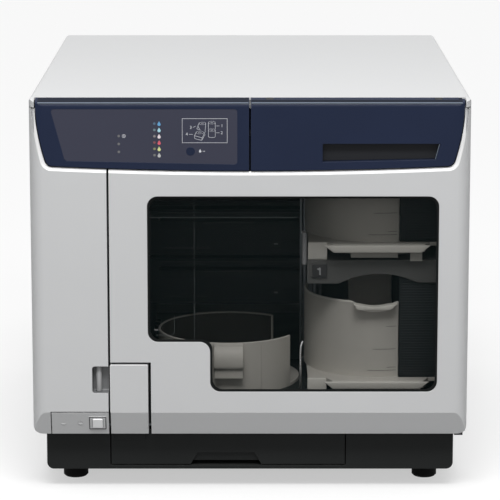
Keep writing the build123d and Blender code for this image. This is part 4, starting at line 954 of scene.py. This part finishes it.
def build_stacker_trim(seat_z, name):
    """Beads, lips and count lines of one of the two right-hand stackers; beads and lips are a lighter copy of
    the stacker plastic, a painted highlight.
    """
    rim_z = seat_z + STACKER_RIM
    bm = bmesh.new()
    for start, end in ((-104.0, 16.4), (163.0, 200.0)):
        tube_along(bm, rim_points(RIGHT_AXIS_X, rim_z - 0.5, start, end, 2.0, notched=True), 1.15)
    # lip that juts out under the notch
    outline = [
        (90.4, rim_z + 0.2), (94.2, rim_z - 5.3), (123.2, rim_z - 5.3), (129.0, rim_z + 0.2),
        (127.0, rim_z - 0.6),
    ]
    for number in range(9):
        x = 124.5 - number * 31.0 / 8
        outline.append((x, min(rim_z - 0.7, notch_z(x, rim_z, 44.4))))
    outline.append((92.4, rim_z - 0.6))
    front_plate(bm, outline, 37.4, 46.4, edge=0.5)
    # rib beside the left block, and the tray's own lip
    top_z = seat_z + STACKER_FLANGE
    block(bm, (50.6, 67.4), (43.2, 44.2), (seat_z + 0.6, top_z - 0.4), edge=0.5)
    tray_lip = ((64.6, top_z - 0.2), (72.6, top_z - 6.6), (148.8, top_z - 6.6), (156.8, top_z - 0.2))
    front_plate(bm, tray_lip, 28.8, 31.4, edge=0.9)
    piece(name + "_trim", bm, stacker_painted_highlight, "body")
    marks = bmesh.new()
    centre = (RIGHT_AXIS_X, DISC_AXIS_DEPTH)
    for height, start in ((61.5, 6.5), (41.0, -4.0), (24.5, 7.0), (21.8, -8.0)):
        swept_band(
            marks, centre, STACKER_OUTER_RADIUS - 0.05, STACKER_OUTER_RADIUS + 0.12,
            seat_z + height, seat_z + height + 0.45, start, 14.5, 8,
        )
    piece(name + "_marks", marks, count_mark, "body")


def build_bowl_trim():
    """Rim bead, crease and grip of the low stacker, and a dark band that paints the shade on its inner rear
    wall.
    """
    bm = bmesh.new()
    tube_along(bm, rim_points(LEFT_AXIS_X, BOWL_RIM_Z - 0.3, 140.0, 420.0, 3.0), 1.1)
    centre = (LEFT_AXIS_X, DISC_AXIS_DEPTH)
    swept_band(bm, centre, 63.4, 63.75, 80.0, 122.4, 27.2, 27.6, 2)
    piece("stacker_3_trim", bm, stacker_plastic, "body")
    # painted shade: a dark band over the inner rear wall of the bowl
    shade_sheet = bmesh.new()
    swept_band(shade_sheet, centre, 60.7, 61.4, 78.6, 123.6, 141.0, 330.0, 60)
    piece("stacker_3_shade_sheet", shade_sheet, warm_dark_and_bowl_shade, "body")
    grip = bmesh.new()
    grip_x = (-32.0, -5.6)
    profile = (
        (38.4, 94.2), (38.4, 102.0), (36.6, 103.0), (36.0, 105.5), (36.0, 112.0),
        (37.2, 116.5), (39.8, 120.4), (43.2, 122.8), (46.6, 123.6), (46.6, 94.2),
    )
    grip.faces.new([grip.verts.new(spot(grip_x[0], depth, z)) for depth, z in profile])
    thicken(grip, list(grip.faces), ((grip_x[1] - grip_x[0]) * MM, 0.0, 0.0))
    bmesh.ops.recalc_face_normals(grip, faces=grip.faces)
    sides = [
        edge for edge in grip.edges
        if abs(edge.verts[0].co.x - edge.verts[1].co.x) < 1e-6
        and min(vert.co.y for vert in edge.verts) < FRONT_Y + 44 * MM
    ]
    round_edges(grip, sides, 1.3, 3)
    piece("stacker_3_grip", grip, stacker_plastic, "body", smooth=50.0)


def build_shelf_sign():
    """The dark plate with the digit 1 at the shelf's left end."""
    plate = bmesh.new()
    block(plate, (54.3, 67.4), (40.4, 41.4), (184.0, 196.2), edge=0.4)
    piece("shelf_plate", plate, chip_black, "body")
    sign = bmesh.new()
    digit(sign, "1", 60.8, 190.1, 6.4, 40.2, 40.45)
    block(sign, (60.5, 61.7), (40.2, 40.45), (187.0, 193.2), edge=0)
    block(sign, (58.9, 60.9), (40.2, 40.45), (191.6, 192.8), edge=0)
    piece("shelf_digit", sign, button_plastic, "body")


def build_side_guards():
    """Ribbed guards of the dark cabin plastic between the stackers' cut edges and the right wall; they also
    paint the shade of that corner.
    """
    bm = bmesh.new()
    for low_z, high_z in ((93.9, 195.2), (215.7, 300.0)):
        block(bm, (130.9, 179.6), (45.4, 46.6), (low_z, high_z), edge=0.2)
        rib_z = low_z + 3.0
        while rib_z < high_z - 2.0:
            block(bm, (132.0, 179.0), (45.25, 45.5), (rib_z, rib_z + 0.7), edge=0)
            rib_z += 2.3
    piece("side_guards", bm, cabin_plastic, "body")


def build_stacker_guides():
    """The pale latch beside the upper stacker and the bright rod beside the lower one."""
    latch = bmesh.new()
    block(latch, (45.5, 49.7), (44.5, 54.0), (194.8, 224.0), edge=1.2, segments=3)
    block(latch, (47.0, 52.0), (48.0, 53.0), (196.2, 199.4), edge=0.4)
    piece("stacker_latch", latch, latch_grey_and_shaded_ridge, "body")
    guide = bmesh.new()
    bend = [(44.4, 47.0, 77.6), (44.4, 47.0, 116.0), (44.8, 47.6, 121.5), (46.4, 49.0, 125.6)]
    tube_along(guide, bend, 0.9)
    piece("stacker_rod", guide, ground_steel, "body")


build_stacker_trim(STACKER_1_SEAT_Z, "stacker_1")
build_stacker_trim(STACKER_2_SEAT_Z, "stacker_2")
build_bowl_trim()
build_shelf_sign()
build_side_guards()
build_stacker_guides()


# ==== drives, printer, arm and ink ====
def build_drive_fronts():
    """Tray seams, lights, buttons and slots on the two drives and the printer."""
    bezels = bmesh.new()
    lamps = bmesh.new()
    for low_z in (DRIVE_2_Z, DRIVE_1_Z):
        for seam_z in (24.4, 38.8):
            block(bezels, (-84.6, 46.2), (173.4, 174.1), (low_z + seam_z, low_z + seam_z + 0.6), edge=0.1)
        for number in range(9):
            x = -80.0 + number * 5.0
            block(bezels, (x, x + 3.4), (173.5, 174.2), (low_z + 5.5, low_z + 6.7), edge=0.1)
        rod(bezels, (-62.0, 173.7, low_z + 14.0), 1.0, 0.8, sides=20)
        block(lamps, (22.0, 26.0), (173.5, 174.2), (low_z + 9.2, low_z + 10.6), edge=0.15)
    for x in (-92.0, 54.0):
        block(bezels, (x - 0.4, x + 0.4), (173.4, 174.2), (132.0, 219.0), edge=0.1)
    for x0 in (-88.0, 20.0):
        block(bezels, (x0, x0 + 30.0), (173.2, 174.1), (276.0, 277.4), edge=0.3)
    piece("drive_fronts", bezels, chip_black, "body")
    piece("drive_lamps", lamps, dull_lens, "body")


def build_tray_notches():
    """The dark finger notch at the front of each drive tray."""
    for body, drive_z in (("drive_1_tray", DRIVE_1_Z), ("drive_2_tray", DRIVE_2_Z)):
        low_z = drive_z + TRAY_RISE
        bm = bmesh.new()
        across = (LEFT_AXIS_X - 24.0, LEFT_AXIS_X + 24.0)
        block(bm, across, (170.6, 171.2), (low_z + 3.0, low_z + 4.2), edge=0.2)
        piece(body + "_notch", bm, chip_black, body)


def build_print_head():
    """Nozzle block, front plate with its screws, and the ink tops of the print carriage."""
    bm = bmesh.new()
    block(bm, (-44.2, 5.8), (222.0, 244.0), (239.6, 242.2), edge=0.5)
    block(bm, (-48.0, 9.0), (216.9, 218.2), (246.0, 272.0), edge=0.4)
    for x in (-45.0, 6.0):
        for z in (248.5, 269.5):
            rod(bm, (x, 216.8, z), 1.4, 0.8, sides=20)
    piece("print_head", bm, chip_black, "print_carriage")
    tops = bmesh.new()
    for number in range(INK_COUNT):
        x0 = -43.5 + number * 8.3
        block(tops, (x0, x0 + 6.6), (220.0, 246.0), (276.6, 277.8), edge=0.3)
    piece("head_tops", tops, cartridge_plastic, "print_carriage")


def build_arm_details():
    """Claws of the gripper, the arm's cover plate, and the bearing caps and screws of the column."""
    claws = bmesh.new()
    for number in range(3):
        angle = math.radians(90 + number * 120)
        x = LEFT_AXIS_X + 5.2 * math.cos(angle)
        depth = DISC_AXIS_DEPTH + 5.2 * math.sin(angle)
        block(claws, (x - 1.1, x + 1.1), (depth - 0.9, depth + 0.9), (283.2, 286.0))
        turn = Matrix.Rotation(angle, 4, "Z")
        block(
            claws, (x - 1.8, x + 1.8), (depth - 0.8, depth + 0.8), (283.0, 284.1), edge=0.25, turn=turn
        )
    piece("disc_claws", claws, ground_steel, "arm")
    cover = bmesh.new()
    pivot_x = 46.65
    pivot_depth = 146.0
    reach = Vector((LEFT_AXIS_X - pivot_x, DISC_AXIS_DEPTH - pivot_depth))
    turn = Matrix.Rotation(-math.atan2(reach.y, -reach.x), 4, "Z")
    x = pivot_x + reach.x / 2
    depth = pivot_depth + reach.y / 2
    block(
        cover, (x - 27.0, x + 27.0), (depth - 4.2, depth + 4.2), (303.8, 305.0), edge=0.4, turn=turn,
    )
    rod(cover, (LEFT_AXIS_X, DISC_AXIS_DEPTH, 296.8), 5.6, 1.8, axis="Z", edge=0.5)
    rod(cover, (LEFT_AXIS_X, DISC_AXIS_DEPTH, 298.6), 2.4, 2.4, axis="Z", sides=6)
    piece("arm_cover", cover, warm_dark_and_bowl_shade, "arm")
    caps = bmesh.new()
    for x in (50.5, 60.0):
        for z in (84.9, 315.1):
            rod(caps, (x, 160.0, z), 4.6, 1.8, axis="Z", edge=0.4)
    for x in (48.5, 63.5):
        for z in (96.0, 200.0, 304.0):
            rod(caps, (x, 167.7, z), 1.5, 0.9, sides=24)
    piece("bearing_caps", caps, ground_steel, "body")


def build_cartridge_details():
    """A coloured band on each of the six cartridges, and their finger ridges."""
    shades = ("cyan", "light_cyan", "light_magenta", "magenta", "yellow", "black")
    tones = (*INK_COLOURS[:0:-1], (0.03, 0.03, 0.03))
    grips = bmesh.new()
    for number, (shade, tone) in enumerate(zip(shades, tones)):
        finish = moulded(
            "band_" + shade, tone, tuple(0.9 * part for part in tone), 0.4, 1800.0, 0.006,
            radius=0.2, shine=0.3,
        )
        x0 = CARTRIDGE_X + number * CARTRIDGE_PITCH
        bm = bmesh.new()
        block(bm, (x0 + 2.0, x0 + 22.5), (21.4, 22.2), (317.0, 326.0))
        block(bm, (x0 + 2.0, x0 + 22.5), (21.9, 40.0), (338.7, 339.5), edge=0.2)
        piece("cartridge_band_" + shade, bm, finish, "body")
        for step in range(3):
            z = 329.4 + step * 2.2
            block(grips, (x0 + 6.0, x0 + 18.5), (21.2, 22.3), (z, z + 1.1), edge=0.25)
    piece("cartridge_grips", grips, cartridge_plastic, "body")


# ==== boards, power supply and rear ====
def build_board_parts():
    """Chips, capacitors, plugs and the ribbon on the two boards."""
    chips = bmesh.new()
    for x, z, width, height in (
        (-120.0, 312.0, 14.0, 14.0), (-96.0, 306.0, 9.0, 12.0), (-66.0, 318.0, 10.0, 6.0),
    ):
        block(chips, (x, x + width), (10.5, 12.0), (z - height / 2, z + height / 2))
    for depth, z, width, height in (
        (250.0, 150.0, 36.0, 36.0), (320.0, 165.0, 22.0, 14.0), (320.0, 130.0, 22.0, 14.0),
        (370.0, 110.0, 30.0, 20.0), (240.0, 95.0, 18.0, 18.0),
    ):
        block(chips, (-98.5, -96.0), (depth, depth + width), (z - height / 2, z + height / 2), edge=0.4)
    piece("board_chips", chips, chip_black, "body")
    plugs = bmesh.new()
    for x in (-140.0, -50.0):
        block(plugs, (x - 6.0, x + 6.0), (10.5, 17.0), (294.5, 300.0), edge=0.5)
    for depth in (215.0, 300.0, 360.0, 410.0):
        block(plugs, (-98.5, -90.0), (depth - 7.0, depth + 7.0), (194.0, 201.0), edge=0.5)
    piece("board_plugs", plugs, button_plastic, "body")
    cans = bmesh.new()
    for depth, z in ((285.0, 80.0), (300.0, 80.0), (315.0, 80.0), (400.0, 160.0), (400.0, 176.0)):
        rod(cans, (-93.0, depth, z), 5.0, 11.0, axis="X", edge=0.7)
    piece("board_cans", cans, ground_steel, "body")
    ribbon = bmesh.new()
    arc = (
        (-98.3, 436.0, 0.0), (-92.0, 436.6, 3.0), (-89.0, 430.0, 8.0), (-92.0, 424.0, 12.0),
        (-98.3, 424.0, 14.0),
    )
    for number in range(12):
        z = 120.0 + number * 1.3
        tube_along(ribbon, [(x, depth, z + rise) for x, depth, rise in arc], 0.6)
    piece("board_ribbon", ribbon, mark_grey, "body")


def build_supply_vents():
    """Slots and screws of the power supply's case."""
    slots = bmesh.new()
    for number in range(12):
        depth = 262.0 + number * 10.5
        block(slots, (-172.0, -112.0), (depth, depth + 4.0), (116.9, 117.25), edge=0.1)
        block(slots, (-104.1, -103.75), (depth, depth + 4.0), (66.0, 108.0), edge=0.1)
    piece("supply_slots", slots, chip_black, "body")
    screws = bmesh.new()
    for x in (-176.0, -108.0):
        for depth in (254.0, 396.0):
            rod(screws, (x, depth, 117.4), 2.4, 1.4, axis="Z", sides=24, edge=0.4)
    piece("supply_screws", screws, ground_steel, "body")


def build_rear_details():
    """Screws across the base's rear, and the pins and tongue of the two sockets."""
    screws = bmesh.new()
    slots = bmesh.new()
    for x in (-150.0, -50.0, 50.0, 150.0):
        rod(screws, (x, REAR_DEPTH - 3.1, 36.0), 3.1, 1.8, sides=28, edge=0.5)
        for turn in (math.pi / 4, -math.pi / 4):
            block(
                slots, (x - 1.8, x + 1.8), (REAR_DEPTH - 2.25, REAR_DEPTH - 2.1), (35.65, 36.35),
                edge=0, turn=Matrix.Rotation(turn, 4, "Y"),
            )
    piece("base_screws", screws, ground_steel, "body")
    piece("screw_slots", slots, chip_black, "body")
    pins = bmesh.new()
    for x, z in ((-147.0, 98.0), (-133.0, 98.0), (-140.0, 102.5)):
        block(pins, (x - 0.9, x + 0.9), (REAR_DEPTH - 22.0, REAR_DEPTH - 5.0), (z - 2.2, z + 2.2), edge=0.4)
    block(pins, (-64.0, -56.0), (REAR_DEPTH - 14.0, REAR_DEPTH - 4.0), (98.8, 101.2))
    piece("socket_pins", pins, brass_contact, "body")


build_drive_fronts()
build_tray_notches()
build_print_head()
build_arm_details()
build_cartridge_details()
build_board_parts()
build_supply_vents()
build_rear_details()


# ==== studio ====
def seen_ray(tree):
    """1 where the camera sees a surface, directly, as a reflection or through glass."""
    path = tree.nodes.new("ShaderNodeLightPath")
    seen = path.outputs["Is Camera Ray"]
    for kind in ("Is Glossy Ray", "Is Transmission Ray"):
        seen = combine(tree, "MAXIMUM", seen, path.outputs[kind])
    return seen


def add_to_scene(name, data):
    """A new object of the studio."""
    thing = bpy.data.objects.new(name, data)
    bpy.context.scene.collection.objects.link(thing)
    return thing


def build_floor():
    """A pale floor that stays white to the camera and keeps the shadow."""
    bm = bmesh.new()
    bmesh.ops.create_grid(bm, x_segments=1, y_segments=1, size=30.0)
    mesh = bpy.data.meshes.new("studio_floor")
    bm.to_mesh(mesh)
    bm.free()
    floor = add_to_scene("studio_floor", mesh)
    finish, tree, shader = new_finish("floor_paper")
    set_inputs(tree, shader, {"Roughness": 1.0, "Specular IOR Level": 0.0, "Emission Strength": 1.0})
    for label, unseen, seen in (("Base Color", 0.17, 0.42), ("Emission Color", 0.0, 0.52)):
        tree.links.new(mix_colours(tree, seen_ray(tree), unseen, seen), shader.inputs[label])
    mesh.materials.append(finish)


def add_lamp(name, place, aim, width, height, power):
    """A soft rectangular lamp that looks at a point."""
    light = bpy.data.lights.new(name, "AREA")
    light.shape = "RECTANGLE"
    light.size = width
    light.size_y = height
    light.energy = power
    lamp = add_to_scene(name, light)
    lamp.location = place
    lamp.rotation_euler = (Vector(aim) - Vector(place)).to_track_quat("-Z", "Y").to_euler()


def build_light():
    """A wide soft light from above, two lamps in front, high and low, and a plain world."""
    light = bpy.data.lights.new("overhead_softbox", "SUN")
    light.energy = 1.75
    light.angle = math.radians(34.0)
    lamp = add_to_scene("overhead_softbox", light)
    lamp.rotation_euler = (math.radians(28.0), 0.0, 0.0)
    add_lamp("front_lamp", (0.0, -0.95, 1.15), (0.0, -0.1, 0.3), 0.8, 0.3, 7.0)
    add_lamp("low_fill", (0.0, -2.6, 0.85), (0.0, 0.0, 0.18), 1.2, 0.6, 4.6)
    world = bpy.data.worlds.new("studio_world")
    world.use_nodes = True
    tree = world.node_tree
    level = add_node(tree, "MapRange", Value=seen_ray(tree), To_Min=0.5, To_Max=1.0)
    sky = {"Color": (1.0, 1.0, 1.0, 1.0), "Strength": level.outputs["Result"]}
    set_inputs(tree, tree.nodes["Background"], sky)
    bpy.context.scene.world = world


def build_camera():
    """The photograph's viewpoint: straight ahead, above and looking down."""
    lens = bpy.data.cameras.new("photo_camera")
    lens.sensor_width = 36.0
    lens.lens = 185.32
    lens.shift_y = -0.1
    lens.clip_start = 0.1
    lens.clip_end = 100.0
    camera = add_to_scene("photo_camera", lens)
    camera.location = (0.0, FRONT_Y - 2.1596, 0.6559)
    camera.rotation_euler = (math.radians(90.0 - 10.364), 0.0, 0.0)
    bpy.context.scene.camera = camera


build_floor()
build_light()
build_camera()
bpy.context.scene.view_settings.view_transform = "Standard"
